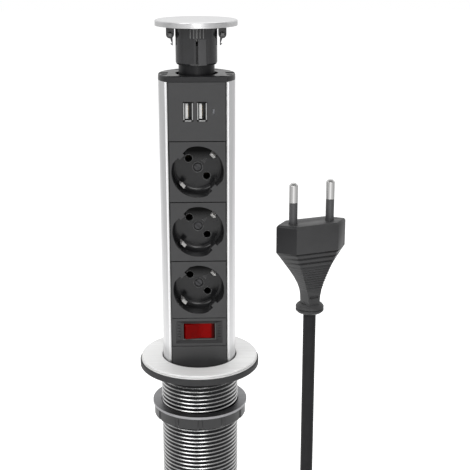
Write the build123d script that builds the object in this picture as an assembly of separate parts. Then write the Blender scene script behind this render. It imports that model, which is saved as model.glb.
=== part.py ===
from build123d import *
import math
import os

# Pop up desk socket: a tower of three earthed sockets, two USB ports and a lit rocker switch,
# which slides up out of a threaded sleeve clamped in a desk top. Millimetres, +Z up, and the
# user stands at -Y. The origin is on the tower's axis, in the plane of the desk top.

# Tower outline
tower_r = 28.2
shell_wall = 1.6
lip_front = 16.2
lip_thick = 1.3
mouth_half = 21.4
face_y = 17.8

# Heights above the desk top
lid_top = 265.6
lid_thick = 4.0
neck_low = 234.1
cap_top = 227.3
cap_thick = 4.2
usb_height = 43.1
socket_height = 45.5
switch_height = 22.8
shell_low = -8.3

# Face plates of the modules
plate_half = 20.75
plate_thick = 3.0
flange_half = 21.95
flange_thick = 1.4
plate_seam = 0.15
plate_edge = 0.3
rail_thick = 1.2
rail_gap = 0.1

# Socket inserts: a round recess with a flat and a guide rib at each end of the pin line
recess_r = 19.0
recess_depth = 17.5
recess_flat = 17.3
recess_round = 3.2
rib_width = 4.8
rib_height = 2.0
cup_wall = 1.4
floor_thick = 3.0
pin_pitch = 19.0
pin_hole_r = 2.6
pin_funnel = 0.8
collar_wall = 1.0
collar_length = 8.0
socket_turn = -45.0
rim_step = 0.25
tab_width = 9.0
screw_head_r = 2.7
screw_head_depth = 1.6
screw_shank_r = 1.4

# Earth clips
clip_width = 4.0
clip_thick = 0.7
clip_root = 17.3
clip_knee_depth = 9.5
clip_bulge = 14.5
clip_bulge_depth = 6.8
clip_tip = 16.4
clip_tip_depth = 4.2
clip_bend = 0.9
clip_slot_gap = 0.4

# Contacts and bus bars behind the sockets
sleeve_wall = 0.5
sleeve_gap = 0.1
sleeve_length = 12.0
bus_width = 6.0
bus_thick = 1.0
earth_bus_width = 4.6
bus_overhang = 4.0

# USB module
usb_port_x = (-6.4, 3.6)
usb_shell_width = 5.6
usb_shell_height = 13.1
usb_shell_wall = 0.35
usb_shell_depth = 14.0
usb_lip_width = 7.4
usb_lip_height = 14.0
usb_lip_thick = 0.7
usb_lip_proud = 0.12
usb_tongue_width = 1.9
usb_tongue_height = 11.1
usb_tongue_depth = 11.0
usb_tongue_shift = -1.05
usb_contact_count = 4
usb_contact_pitch = 2.3
usb_contact_width = 1.0
usb_contact_thick = 0.3
usb_port_rise = 0.2
usb_board_width = 34.0
usb_board_height = 35.0
usb_board_thick = 1.6
usb_post_r = 2.0
usb_post_inset = 2.6
usb_fit = 0.15
indicator_x = 11.9
indicator_width = 1.6
indicator_height = 3.6
transformer_width = 16.0
transformer_height = 14.0
transformer_depth = 10.0

# Switch module
bezel_width = 35.7
bezel_height = 18.4
bezel_depth = 2.4
bezel_border = 0.1
rocker_width = 23.2
rocker_height = 11.7
rocker_gap = 0.4
rocker_pivot_depth = 6.0
rocker_slope = 6.0
rocker_rest = 6.0
rocker_peak_depth = 0.7
rocker_back = 2.6
pivot_r = 1.2
pivot_fit = 0.06
housing_wall = 1.2
housing_depth = 18.0
grip_count = 5
grip_pitch = 2.3
grip_thick = 0.9
grip_length = 3.2
lamp_r = 1.6
lamp_length = 9.0
blade_width = 4.8
blade_thick = 0.8
blade_length = 7.0
blade_pitch = 7.0

# Top cap
cap_chamfer = 0.7
cap_hole_gap = 0.35
notch_inner = 21.0
notch_width = 6.0
notch_depth = 2.6
fastener_r = 1.2
fastener_head_r = 2.2
fastener_head_thick = 1.2
fastener_length = 10.0
screw_sunk = 0.3
channel_wall = 1.0
channel_angles = (-20.0, 55.0, 125.0, 200.0)

# Lid, neck and latches
lid_r = 29.9
lid_skin = 1.6
lid_rim = 1.8
lid_edge = 0.9
lid_fit = 0.1
lid_travel = 10.5
lid_base_r = 22.0
lid_base_thick = 1.2
neck_r = 15.2
neck_wall = 1.75
neck_edge = 1.2
neck_slot_width = 1.6
neck_slot_x = 0.4
neck_slot_foot = 1.2
neck_band_width = 6.2
neck_band_depth = 0.45
neck_band_height = 18.6
neck_rib_count = 5
neck_rib_pitch = 2.3
neck_rib_width = 0.9
neck_rib_height = 7.0
neck_rib_proud = 0.5
core_r = 13.2
core_wall = 2.0
core_top = 248.6
core_flange_r = 19.5
core_flange_thick = 2.0
peg_width = 1.2
peg_height = 1.8
peg_reach = 1.7
lid_spring_r = 8.5
lid_spring_wire = 1.2
lid_spring_turns = 7
lid_screw_ring = 24.6
lid_screw_angles = (30.0, 150.0, 270.0)
lid_screw_bite = 0.9
latch_x = 18.8
latch_drop = 5.2
bracket_width = 5.8
bracket_depth = 6.0
bracket_plate = 1.6
bracket_ear = 1.3
latch_pin_r = 0.9
latch_pin_head_r = 1.3
latch_pin_head = 0.6
latch_pin_reach = 2.9
latch_fit = 0.06
latch_boss_r = 1.9
latch_thick = 2.6
latch_arm_length = 8.0
latch_arm_lean = 2.1
latch_arm_width = 1.5
latch_hook = 1.3
latch_open = 20.0
latch_coil_r = 1.6
latch_coil_wire = 0.5
latch_coil_pitch = 0.62
latch_coil_turns = 3

# Collar on the desk
gasket_r = 46.3
gasket_height = 5.0
gasket_edge = 0.6
ring_r = 45.0
ring_thick = 2.8
ring_hole_r = 28.9
ring_edge = 0.4
ring_groove = 0.5
ring_groove_low = 0.9
ring_lip_proud = 0.3
ring_skirt_gap = 0.4
ring_skirt_wall = 1.6
ring_skirt_depth = 2.4

# Sleeve under the desk, with its clamp
sleeve_r = 30.0
sleeve_bore_gap = 0.3
sleeve_low = -95.0
sleeve_flange_r = 36.0
sleeve_flange_thick = 2.0
sleeve_edge = 0.8
desk_thick = 30.0
desk_thinnest = 10.0
desk_thickest = 60.0
thread_pitch = 3.25
clamp_gap = 0.4
washer_r = 37.0
washer_thick = 2.0
nut_r = 36.0
nut_height = 9.0
nut_grips = 12
nut_grip_r = 2.2
nut_edge = 0.6

# Guide insert and brake pads
slide_gap = 0.3
guide_low = -8.0
guide_high = 3.0
pad_low = -20.0
pad_high = -4.0
pad_depth = 0.9
pad_span = 50.0
pad_fit = 0.05
pad_angles = (0.0, 90.0, 180.0)

# Tower base, cable gland and terminals
base_low = -75.0
base_wall = 2.2
base_floor = 3.0
base_shoulder = 3.0
base_opening_r = 15.0
spigot_r = 20.4
spigot_wall = 2.0
spigot_height = 5.0
spigot_front = 12.6
base_edge = 1.0
gland_flange_r = 10.0
gland_flange_thick = 4.0
gland_nose_length = 20.0
gland_nose_r = 5.2
gland_top_r = 7.6
gland_thread_r = 6.0
gland_nut_r = 9.0
gland_nut_thick = 4.0
block_width = 24.0
block_depth = 10.0
block_height = 14.0
block_wire_rise = 6.5
block_y = 11.0
block_screw_r = 1.8
block_screw_rise = 0.6
block_screw_pitch = 7.2
wire_r = 1.1
wire_reach = 6.0

# Cord, its put-away coil and the plug
cord_d = 6.0
cord_fit = 0.15
cord_inside = 11.0
coil_r = 42.5
coil_pitch = 6.8
coil_steps = 4
coil_z = -148.0
run_share = 0.45
tie_width = 8.0
tie_thick = 1.2
tie_gap = 0.4
tie_slack = 1.0
plug_x = 52.0
plug_y = -305.0
plug_top = 200.0
plug_turn = 20.0
plug_width = 35.3
plug_thick = 13.7
plug_front = 21.0
plug_grip = 13.0
plug_taper = 22.0
plug_neck = 4.5
plug_neck_width = 9.2
plug_flange = 4.4
plug_flange_r = 6.6
plug_pin_pitch = 18.6
plug_pin_r = 2.0
plug_pin_length = 19.0
plug_metal_length = 9.0
plug_pin_root = 5.0
plug_edge = 0.7
plug_ribs = 7
plug_rib_pitch = 2.1
plug_rib_height = 0.7
plug_rib_depth = 0.6

# One overrun for all cuts
cut = 1.0

base_align = (Align.CENTER, Align.CENTER, Align.MIN)
corner_align = (Align.MIN, Align.MIN, Align.MIN)

# Places that follow from the sizes above
cap_low = cap_top - cap_thick
usb_low = cap_low - usb_height
socket_tops = [usb_low - i * socket_height for i in range(3)]
socket_mids = [top - socket_height / 2 for top in socket_tops]
switch_top = usb_low - 3 * socket_height
switch_low = switch_top - switch_height
lid_under = lid_top - lid_thick
lid_base_low = lid_under - lid_base_thick
ring_top = gasket_height + ring_thick
sleeve_bore = tower_r + sleeve_bore_gap
tower_travel = lid_under - lid_travel - ring_top - slide_gap
cup_r = recess_r + cup_wall
cup_back = recess_depth + floor_thick
cord_r = cord_d / 2
cord_exit = base_low - gland_flange_thick - gland_nose_length


def tube(r_out, r_in, z_low, z_high):
    """An upright tube, or a disc where the inner radius is zero."""
    height = z_high - z_low
    body = Cylinder(r_out, height, align=base_align)
    if r_in > 0:
        body -= Pos(0, 0, -cut) * Cylinder(r_in, height + 2 * cut, align=base_align)
    return Pos(0, 0, z_low) * body


def block(x_low, x_high, y_low, y_high, z_low, z_high):
    """A box given by its limits."""
    size = (x_high - x_low, y_high - y_low, z_high - z_low)
    return Pos(x_low, y_low, z_low) * Box(*size, align=corner_align)


def behind(y, reach=None):
    """Everything at or behind a plane that faces the user."""
    far = reach or 2 * sleeve_flange_r
    return block(-far, far, y, far, base_low - far, lid_top + far)


def on_face(z_mid, part):
    """Puts a part drawn in the face's own frame, x right, y up and z to the user, on the tower."""
    plane = Plane(origin=(0, -face_y, z_mid), x_dir=(1, 0, 0), z_dir=(0, -1, 0))
    return plane.location * part


def slab(width, height, z_low, z_high):
    """A centred plate in the face's own frame."""
    return Pos(0, 0, z_low) * Box(width, height, z_high - z_low, align=base_align)


def turn_solid(points):
    """A solid of revolution about Z from (radius, height) corners."""
    outline = make_face(Polyline(*[(r, 0, z) for r, z in points], close=True))
    return revolve(outline, axis=Axis.Z)


def polar(radius, angle):
    return radius * math.cos(math.radians(angle)), radius * math.sin(math.radians(angle))


def channel_centres():
    """Where the extrusion's screw channels lie."""
    centre_r = tower_r - shell_wall - fastener_r - channel_wall / 2
    return [polar(centre_r, angle) for angle in channel_angles]


def module_plate(height):
    """A face plate with the wider flange that slides behind the extrusion's lips."""
    tall = height - plate_seam
    plate = slab(2 * plate_half, tall, -plate_thick, 0)
    plate = chamfer(plate.faces().sort_by(Axis.Z)[-1].edges(), plate_edge)
    return plate + slab(2 * flange_half, tall, -plate_thick - flange_thick, -plate_thick)


def countersunk(x, y, z_head, length, up=1):
    """A screw whose flat head lies at z_head; up is 1 if it is driven downwards."""
    head = turn_solid([
        (0, 0),
        (fastener_head_r, 0),
        (fastener_r, -fastener_head_thick),
        (fastener_r, -length),
        (0, -length),
    ])
    if up < 0:
        head = Rot(180, 0, 0) * head
    return Pos(x, y, z_head) * head


def screw_seat(x, y, z_head, length, up=1):
    """The hole for such a screw, open above its head."""
    z_far = z_head + up * length
    z_low, z_high = sorted((z_head, z_far))
    return countersunk(x, y, z_head, length, up) + Pos(x, y, 0) * tube(
        fastener_head_r, 0, z_low, z_high)


# Extrusion


def shell_profile():
    """The extrusion's section: a round wall with two flat front lips, rails and screw channels."""
    inner_r = tower_r - shell_wall
    lip_back = lip_front - lip_thick
    far = 2 * tower_r
    outer = Circle(tower_r) & Pos(0, far / 2 - lip_front) * Rectangle(far, far)
    inner = Circle(inner_r) & Pos(0, far / 2 - lip_back) * Rectangle(far, far)
    mouth = Pos(0, -lip_front) * Rectangle(2 * mouth_half, 2 * lip_thick + cut)
    wall = outer - inner - mouth
    rail_front = face_y - plate_thick - flange_thick - rail_gap
    rail_half = tower_r - mouth_half
    for side in (1, -1):
        rail = Pos(side * (mouth_half + rail_half / 2), -rail_front + rail_thick / 2)
        wall += rail * Rectangle(rail_half, rail_thick) & Circle(inner_r + shell_wall / 2)
    for x, y in channel_centres():
        wall += Pos(x, y) * Circle(fastener_r + channel_wall)
    wall = wall & Circle(tower_r)
    for x, y in channel_centres():
        wall -= Pos(x, y) * Circle(fastener_r)
    return wall


def tower_shell():
    return Pos(0, 0, shell_low) * extrude(shell_profile(), amount=cap_low - shell_low)


def top_cap():
    """The cap: the tower's outline with a neck hole, a latch notch each side and four screw seats."""
    plate = tube(tower_r, 0, cap_low, cap_top) & behind(-face_y)
    plate = chamfer(plate.faces().sort_by(Axis.Z)[-1].edges(), cap_chamfer)
    plate -= tube(neck_r + cap_hole_gap, 0, cap_low - cut, cap_top + cut)
    for side in (1, -1):
        x_low, x_high = sorted((side * notch_inner, side * (tower_r + cut)))
        plate -= block(x_low, x_high, -notch_width / 2, notch_width / 2, cap_top - notch_depth,
                       cap_top + cut)
    for x, y in channel_centres():
        plate -= screw_seat(x, y, cap_top - screw_sunk, cap_thick + cut)
    return plate


def cap_screws():
    return [countersunk(x, y, cap_top - screw_sunk, fastener_length)
            for x, y in channel_centres()]


# Socket inserts


def recess_outline(grow=0.0):
    """The recess: a circle cut by two flats, each with a guide rib, in the insert's own frame."""
    flat = recess_flat + grow
    outline = Circle(recess_r + grow) & Rectangle(2 * flat, 2 * (recess_r + grow))
    for side in (1, -1):
        outline -= Pos(side * (flat - rib_height / 2), 0) * Rectangle(rib_height, rib_width)
    return outline


def earth_clip():
    """One strip of spring metal: a bar behind the floor and a finger through it at each end."""
    back = cup_back + clip_thick / 2
    half = [
        (clip_root, -back),
        (clip_root, -clip_knee_depth),
        (clip_bulge, -clip_bulge_depth),
        (clip_tip, -clip_tip_depth),
    ]
    other = [(-y, z) for y, z in reversed(half)]
    strip = trace(FilletPolyline(*other, *half, radius=clip_bend), line_width=clip_thick)
    return extrude(Plane.YZ * strip, amount=clip_width / 2, both=True)


def socket_insert():
    """One earthed socket: face plate, cup, recess, floor, guide ribs and contact collars."""
    plate = module_plate(socket_height)
    cup = Pos(0, 0, -cup_back) * Cylinder(cup_r, cup_back - plate_thick, align=base_align)
    body = plate + cup
    collars = Part() + [
        Pos(side * pin_pitch / 2, 0, -cup_back - collar_length)
        * Cylinder(sleeve_bore_r() + collar_wall, collar_length, align=base_align)
        for side in (1, -1)
    ]
    body += Rot(0, 0, socket_turn) * collars
    bowl = Pos(0, 0, -recess_depth) * Cylinder(recess_r, recess_depth + cut, align=base_align)
    bowl = fillet(bowl.edges().sort_by(Axis.Z)[0], recess_round)
    cutter = bowl & Pos(0, 0, -recess_depth) * extrude(recess_outline(),
                                                       amount=recess_depth + cut)
    cutter += Pos(0, 0, -rim_step) * extrude(recess_outline(rim_step), amount=rim_step + cut)
    for side in (1, -1):
        pin = Pos(side * pin_pitch / 2, 0, 0)
        cutter += pin * Pos(0, 0, -cup_back - cut) * Cylinder(pin_hole_r, cup_back,
                                                              align=base_align)
        cutter += pin * Pos(0, 0, -recess_depth) * Cone(
            pin_hole_r, pin_hole_r + pin_funnel, 2 * pin_funnel,
            align=(Align.CENTER, Align.CENTER, Align.CENTER))
        cutter += pin * Pos(0, 0, -cup_back - collar_length - cut) * Cylinder(
            sleeve_bore_r(), collar_length + cut, align=base_align)
        slot = clip_thick + 2 * clip_slot_gap
        cutter += Pos(0, side * clip_root, -cup_back - cut) * Box(
            clip_width + 2 * clip_slot_gap, slot, floor_thick + 2 * cut, align=base_align)
    cutter += Pos(0, 0, -recess_depth - screw_head_depth) * Cylinder(
        screw_head_r + clip_slot_gap, screw_head_depth + cut, align=base_align)
    cutter += Pos(0, 0, -cup_back - cut) * Cylinder(
        screw_shank_r + sleeve_gap, floor_thick + cut, align=base_align)
    body -= Rot(0, 0, socket_turn) * cutter
    for side in (1, -1):
        body -= Pos(0, side * (socket_height / 2), 0) * Box(tab_width, 2 * rim_step, 2 * rim_step)
    return body


def sleeve_bore_r():
    return pin_hole_r + sleeve_wall + sleeve_gap


def socket_screw():
    head = Pos(0, 0, -recess_depth - screw_head_depth + sleeve_gap) * Cylinder(
        screw_head_r, screw_head_depth - sleeve_gap, align=base_align)
    slot = Pos(0, 0, -recess_depth) * Box(2 * screw_head_r, fastener_r / 2, screw_head_depth)
    shank = Pos(0, 0, -cup_back) * Cylinder(
        screw_shank_r, floor_thick - screw_head_depth + sleeve_gap, align=base_align)
    return head - slot + shank


def contact_sleeves():
    """The brass sleeves that take the plug's pins, two to a socket, in the floor's collars."""
    length = sleeve_length
    made = []
    for z_mid in socket_mids:
        for side in (1, -1):
            x, y = polar(side * pin_pitch / 2, socket_turn)
            sleeve = Pos(x, y, -cup_back - length) * (
                Cylinder(pin_hole_r + sleeve_wall, length, align=base_align)
                - Pos(0, 0, -cut) * Cylinder(pin_hole_r, length + 2 * cut, align=base_align))
            made.append(on_face(z_mid, sleeve))
    return made


def bus_bar(side):
    """A strip that joins the three contact sleeves of one side."""
    x, z_off = polar(side * pin_pitch / 2, socket_turn)
    y_low = cup_back + sleeve_length - face_y
    return block(x - bus_width / 2, x + bus_width / 2, y_low, y_low + bus_thick,
                 socket_mids[-1] + z_off - bus_overhang, socket_mids[0] + z_off + bus_overhang)


def earth_bus():
    y_low = cup_back + clip_thick - face_y
    return block(-earth_bus_width / 2, earth_bus_width / 2, y_low, y_low + bus_thick,
                 socket_mids[-1] - bus_overhang, socket_mids[0] + bus_overhang)


# USB module


def usb_board_front():
    """How far behind the face the charger board starts."""
    return usb_shell_depth


def usb_places():
    return [Pos(x, usb_port_rise, 0) for x in usb_port_x]


def usb_panel():
    panel = module_plate(usb_height)
    inset_x = usb_board_width / 2 - usb_post_inset
    inset_y = usb_board_height / 2 - usb_post_inset
    for x in (-inset_x, inset_x):
        for y in (-inset_y, inset_y):
            panel += Pos(x, y, -usb_board_front()) * Cylinder(
                usb_post_r, usb_board_front() - plate_thick, align=base_align)
    for place in usb_places():
        panel -= place * slab(usb_shell_width + 2 * usb_fit, usb_shell_height + 2 * usb_fit,
                              -plate_thick - flange_thick - cut, cut)
        panel -= place * slab(usb_lip_width + 2 * usb_fit, usb_lip_height + 2 * usb_fit,
                              -usb_lip_thick / 2, cut)
    panel -= Pos(indicator_x, usb_port_rise, 0) * slab(
        indicator_width, indicator_height, -plate_thick - flange_thick - cut, cut)
    return panel


def usb_shells():
    """The two metal port shells, each with a flared front lip."""
    made = []
    for place in usb_places():
        shell = slab(usb_shell_width, usb_shell_height, -usb_shell_depth, 0)
        lip = slab(usb_lip_width, usb_lip_height, -usb_lip_thick / 2, usb_lip_proud)
        hollow = slab(usb_shell_width - 2 * usb_shell_wall, usb_shell_height - 2 * usb_shell_wall,
                      -usb_shell_depth + usb_shell_wall, usb_shell_depth)
        made.append(on_face(usb_mid(), place * (shell + lip - hollow)))
    return made


def usb_mid():
    return usb_low + usb_height / 2


def usb_tongues():
    made = []
    for place in usb_places():
        low = -usb_shell_depth + usb_shell_wall
        tongue = Pos(usb_tongue_shift, 0, 0) * slab(
            usb_tongue_width, usb_tongue_height, low, low + usb_tongue_depth)
        foot = slab(usb_shell_width - 2 * usb_shell_wall - usb_fit,
                    usb_shell_height - 2 * usb_shell_wall - usb_fit, low, low + usb_tongue_width)
        made.append(on_face(usb_mid(), place * (tongue + foot)))
    return made


def usb_contacts():
    made = []
    low = -usb_shell_depth + usb_shell_wall + usb_tongue_width
    high = low - usb_tongue_width + usb_tongue_depth - usb_tongue_width / 2
    for place in usb_places():
        x = usb_tongue_shift + usb_tongue_width / 2 + usb_contact_thick / 2
        for i in range(usb_contact_count):
            y = (i - (usb_contact_count - 1) / 2) * usb_contact_pitch
            strip = Pos(x, y, 0) * slab(usb_contact_thick, usb_contact_width, low, high)
            made.append(on_face(usb_mid(), place * strip))
    return made


def usb_board():
    low = -usb_board_front() - usb_board_thick
    return on_face(usb_mid(), slab(usb_board_width, usb_board_height, low, -usb_board_front()))


def usb_transformer():
    low = -usb_board_front() - usb_board_thick
    return on_face(usb_mid(), slab(transformer_width, transformer_height,
                                   low - transformer_depth, low))


def usb_indicator():
    """The light pipe beside the ports, from the board to just below the face."""
    return on_face(usb_mid(), Pos(indicator_x, usb_port_rise, 0) * slab(
        indicator_width - usb_fit, indicator_height - usb_fit, -usb_board_front(), -plate_edge))


# Switch module


def switch_mid():
    return (switch_top + switch_low) / 2


def rocker_opening():
    return rocker_width + 2 * rocker_gap, rocker_height + 2 * rocker_gap


def switch_panel():
    """Face plate with a bevelled frame round the rocker and five grip ribs on each side slope."""
    panel = module_plate(switch_height)
    wide, tall = rocker_opening()
    floor = Pos(0, 0, -bezel_depth) * Rectangle(wide + 2 * bezel_border, tall + 2 * bezel_border)
    slope = bezel_depth + cut
    grow = slope / bezel_depth
    mouth_w = wide + 2 * bezel_border + (bezel_width - wide - 2 * bezel_border) * grow
    mouth_h = tall + 2 * bezel_border + (bezel_height - tall - 2 * bezel_border) * grow
    panel -= loft([floor, Pos(0, 0, cut) * Rectangle(mouth_w, mouth_h)])
    for side in (1, -1):
        for i in range(grip_count):
            y = (i - (grip_count - 1) / 2) * grip_pitch
            x = side * (bezel_width / 2 - grip_length / 2 - plate_edge)
            grip = Pos(x, y, -plate_edge) * slab(grip_length, grip_thick, -bezel_depth, 0)
            panel += grip
    panel -= slab(wide, tall, -plate_thick - flange_thick - cut, cut)
    return panel


def rocker_cheek():
    """Half the height of the housing's cavity."""
    return rocker_opening()[1] / 2


def switch_housing():
    """Open box behind the panel; its upper and lower walls carry the rocker's pivots."""
    wide, tall = rocker_opening()
    top = -plate_thick - flange_thick
    box = slab(wide + 2 * housing_wall, tall + 2 * housing_wall, top - housing_depth, top)
    box -= slab(wide, tall, top - housing_depth + housing_wall, cut)
    bore = Pos(0, 0, -rocker_pivot_depth) * Rot(90, 0, 0) * Cylinder(
        pivot_r + pivot_fit, tall + 4 * housing_wall)
    return on_face(switch_mid(), box - bore)


def rocker():
    """The rocker: a shallow V face on a body whose ends are arcs about its pivot."""
    rim = rocker_width / 2
    peak = rocker_pivot_depth - rocker_peak_depth
    corner = math.asin(peak / rim) - math.radians(rocker_rest)
    rise = math.tan(math.radians(rocker_slope))
    valley = rim * math.sin(corner) - rim * math.cos(corner) * rise
    outline = make_face(Polyline(
        (-2 * rim, valley + 2 * rim * rise),
        (0, valley),
        (2 * rim, valley + 2 * rim * rise),
        (2 * rim, -rocker_back),
        (-2 * rim, -rocker_back),
        close=True,
    ))
    outline = outline & Circle(rim)
    body = extrude(Plane.XZ * outline, amount=rocker_height / 2, both=True)
    body += Rot(90, 0, 0) * Cylinder(
        pivot_r, rocker_height + 2 * rocker_gap + 2 * housing_wall)
    tilted = Rot(0, rocker_rest, 0) * body
    return on_face(switch_mid(), Pos(0, 0, -rocker_pivot_depth) * tilted)


def switch_floor():
    return -plate_thick - flange_thick - housing_depth + housing_wall


def switch_lamp():
    """The neon lamp that lights the rocker, lying on the housing's floor."""
    lamp = Pos(0, 0, switch_floor() + lamp_r) * Rot(0, 90, 0) * Cylinder(lamp_r, lamp_length)
    return on_face(switch_mid(), lamp)


def switch_blades():
    """Three terminal blades through the back of the housing."""
    made = []
    back = switch_floor() - housing_wall
    for i in (-1, 0, 1):
        blade = Pos(i * blade_pitch, 0, 0) * slab(blade_thick, blade_width,
                                                  back - blade_length, back)
        made.append(on_face(switch_mid(), blade))
    return made


def lower_panel():
    height = switch_low - shell_low
    return on_face((switch_low + shell_low) / 2, module_plate(height))


# Lid, neck and latches


def lid_disc():
    """The metal lid: a shallow cup, open below, with a rounded upper edge."""
    disc = tube(lid_r, 0, lid_under, lid_top)
    disc = fillet(disc.edges().sort_by(Axis.Z)[-1], lid_edge)
    return disc - tube(lid_r - lid_rim, 0, lid_under - cut, lid_top - lid_skin)


def lid_screw_places():
    return [polar(lid_screw_ring, angle) for angle in lid_screw_angles]


def lid_base():
    """The plastic disc inside the lid, with the boss that holds the neck and the latches."""
    base = tube(lid_r - lid_rim - lid_fit, 0, lid_under, lid_top - lid_skin)
    base += tube(lid_base_r, 0, lid_base_low, lid_under)
    for x, y in lid_screw_places():
        base -= countersunk(x, y, lid_under, lid_thick, up=-1)
    return base


def lid_screws():
    length = lid_thick - lid_skin
    return [countersunk(x, y, lid_under, length, up=-1) for x, y in lid_screw_places()]


def neck():
    """The plunger sleeve under the lid: a slot, a shallow band beside it and ribs at its top."""
    body = turn_solid([
        (neck_r - neck_wall, neck_low),
        (neck_r - neck_edge / 2, neck_low),
        (neck_r, neck_low + neck_edge),
        (neck_r, lid_base_low),
        (neck_r - neck_wall, lid_base_low),
    ])
    low = neck_low + neck_slot_foot
    high = neck_low + neck_band_height
    band_low = neck_slot_x + neck_slot_width / 2
    ledge = tube(neck_r + cut, neck_r - neck_band_depth, neck_low - cut, high)
    body -= ledge & block(band_low, band_low + neck_band_width, -neck_r - cut, 0,
                          neck_low - 2 * cut, high + cut)
    body -= block(neck_slot_x - neck_slot_width / 2, band_low, -neck_r - cut, 0, low, high)
    ring = tube(neck_r + neck_rib_proud, neck_r - neck_wall / 2,
                lid_base_low - neck_rib_height, lid_base_low)
    for i in range(neck_rib_count):
        x = neck_slot_x + (i - (neck_rib_count - 1) / 2) * neck_rib_pitch
        body += ring & block(x - neck_rib_width / 2, x + neck_rib_width / 2, -neck_r - cut, 0,
                             neck_low, lid_base_low)
    return body


def neck_core():
    """The guide tube on the tower that the neck slides over, closed below as the spring's seat."""
    flange_low = cap_low - core_flange_thick
    tall = tube(core_r, 0, flange_low, core_top)
    tall = chamfer(tall.edges().sort_by(Axis.Z)[-1], core_wall / 3)
    flange = tube(core_flange_r, 0, flange_low, cap_low) & behind(-spigot_front)
    peg_low = neck_low + neck_slot_foot + slide_gap
    peg = block(neck_slot_x - peg_width / 2, neck_slot_x + peg_width / 2,
                -core_r - peg_reach, -core_r + core_wall / 2, peg_low, peg_low + peg_height)
    bore = tube(core_r - core_wall, 0, cap_low, core_top + cut)
    return tall + flange + peg - bore


def lid_spring():
    """The compression spring between the core's floor and the lid."""
    low = cap_low + lid_spring_wire / 2
    high = lid_base_low - lid_spring_wire / 2
    height = high - low
    path = Helix(pitch=height / lid_spring_turns, height=height, radius=lid_spring_r)
    section = Plane(origin=path @ 0, z_dir=path % 0) * Circle(lid_spring_wire / 2)
    return Pos(0, 0, low) * sweep(section, path=path)


def latch_pivot():
    return lid_base_low - latch_drop


def latch_bracket(side):
    """Two ears under a plate, rounded about the pin."""
    half = bracket_width / 2
    plate = block(-half, half, -bracket_depth / 2, bracket_depth / 2, lid_base_low - bracket_plate,
                  lid_base_low)
    ear_outer = bracket_depth / 2
    for front in (1, -1):
        y_low, y_high = sorted((front * ear_outer, front * (ear_outer - bracket_ear)))
        ear = block(-half, half, y_low, y_high, latch_pivot(), lid_base_low)
        tip = Pos(0, (y_low + y_high) / 2, latch_pivot()) * Rot(90, 0, 0) * Cylinder(
            half, bracket_ear)
        plate += ear + tip
    bore = Pos(0, 0, latch_pivot()) * Rot(90, 0, 0) * Cylinder(
        latch_pin_r + latch_fit, 2 * bracket_depth)
    return Pos(side * latch_x, 0, 0) * (plate - bore)


def latch_pin(side):
    """A headed pin whose front end carries the coil of the latch spring."""
    length = bracket_depth + latch_pin_reach
    pin = Pos(0, -latch_pin_reach / 2, 0) * Rot(90, 0, 0) * Cylinder(latch_pin_r, length)
    for y in (-bracket_depth / 2 - latch_pin_reach - latch_pin_head / 2,
              bracket_depth / 2 + latch_pin_head / 2):
        pin += Pos(0, y, 0) * Rot(90, 0, 0) * Cylinder(latch_pin_head_r, latch_pin_head)
    return Pos(side * latch_x, 0, latch_pivot()) * pin


def latch_hook_lever(side):
    """The sprung hook: a boss on the pin, an arm that leans to the neck and a barb at its foot."""
    foot = latch_arm_length
    outline = make_face(Polyline(
        (-latch_arm_width, 0),
        (latch_arm_width / 2, 0),
        (latch_arm_width / 2 - latch_arm_lean / 2, -foot / 2),
        (latch_arm_width / 2 - latch_arm_lean, -foot + latch_hook),
        (latch_arm_width / 2 - latch_arm_lean + latch_hook, -foot + latch_hook),
        (latch_arm_width / 2 - latch_arm_lean, -foot),
        (-latch_arm_width / 2 - latch_arm_lean / 2, -foot),
        (-latch_arm_width / 2 - latch_arm_lean / 2, -foot / 2),
        close=True,
    ))
    outline = outline + Circle(latch_boss_r) - Circle(latch_pin_r + latch_fit)
    lever = extrude(Plane.XZ * outline, amount=latch_thick / 2, both=True)
    if side < 0:
        lever = mirror(lever, about=Plane.YZ)
    return Pos(side * latch_x, 0, latch_pivot()) * lever


def latch_spring(side):
    """The torsion coil round the front end of a latch pin."""
    height = latch_coil_pitch * latch_coil_turns
    path = Helix(pitch=latch_coil_pitch, height=height, radius=latch_coil_r)
    section = Plane(origin=path @ 0, z_dir=path % 0) * Circle(latch_coil_wire / 2)
    coil = Rot(90, 0, 0) * sweep(section, path=path)
    y = -bracket_depth / 2 - latch_coil_wire / 2
    return Pos(side * latch_x, y, latch_pivot()) * coil


# Collar, sleeve and clamp


def collar_gasket():
    inner = sleeve_flange_r + 2 * ring_skirt_gap + ring_skirt_wall
    return turn_solid([
        (inner, 0),
        (gasket_r - gasket_edge, 0),
        (gasket_r, gasket_edge),
        (gasket_r, gasket_height - gasket_edge),
        (gasket_r - gasket_edge, gasket_height),
        (inner, gasket_height),
    ])


def collar_ring():
    """The flat metal ring, with a grooved edge and a skirt round the sleeve's flange."""
    skirt_in = sleeve_flange_r + ring_skirt_gap
    groove_low = gasket_height + ring_groove_low
    return turn_solid([
        (ring_hole_r + ring_edge, gasket_height),
        (skirt_in, gasket_height),
        (skirt_in, gasket_height - ring_skirt_depth),
        (skirt_in + ring_skirt_wall, gasket_height - ring_skirt_depth),
        (skirt_in + ring_skirt_wall, gasket_height),
        (ring_r + ring_lip_proud, gasket_height),
        (ring_r + ring_lip_proud, groove_low),
        (ring_r - ring_groove, groove_low),
        (ring_r - ring_groove, groove_low + ring_groove),
        (ring_r, groove_low + ring_groove),
        (ring_r, ring_top - ring_edge),
        (ring_r - ring_edge, ring_top),
        (ring_hole_r + ring_edge, ring_top),
        (ring_hole_r, ring_top - ring_edge),
        (ring_hole_r, gasket_height + ring_edge),
    ])


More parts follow.
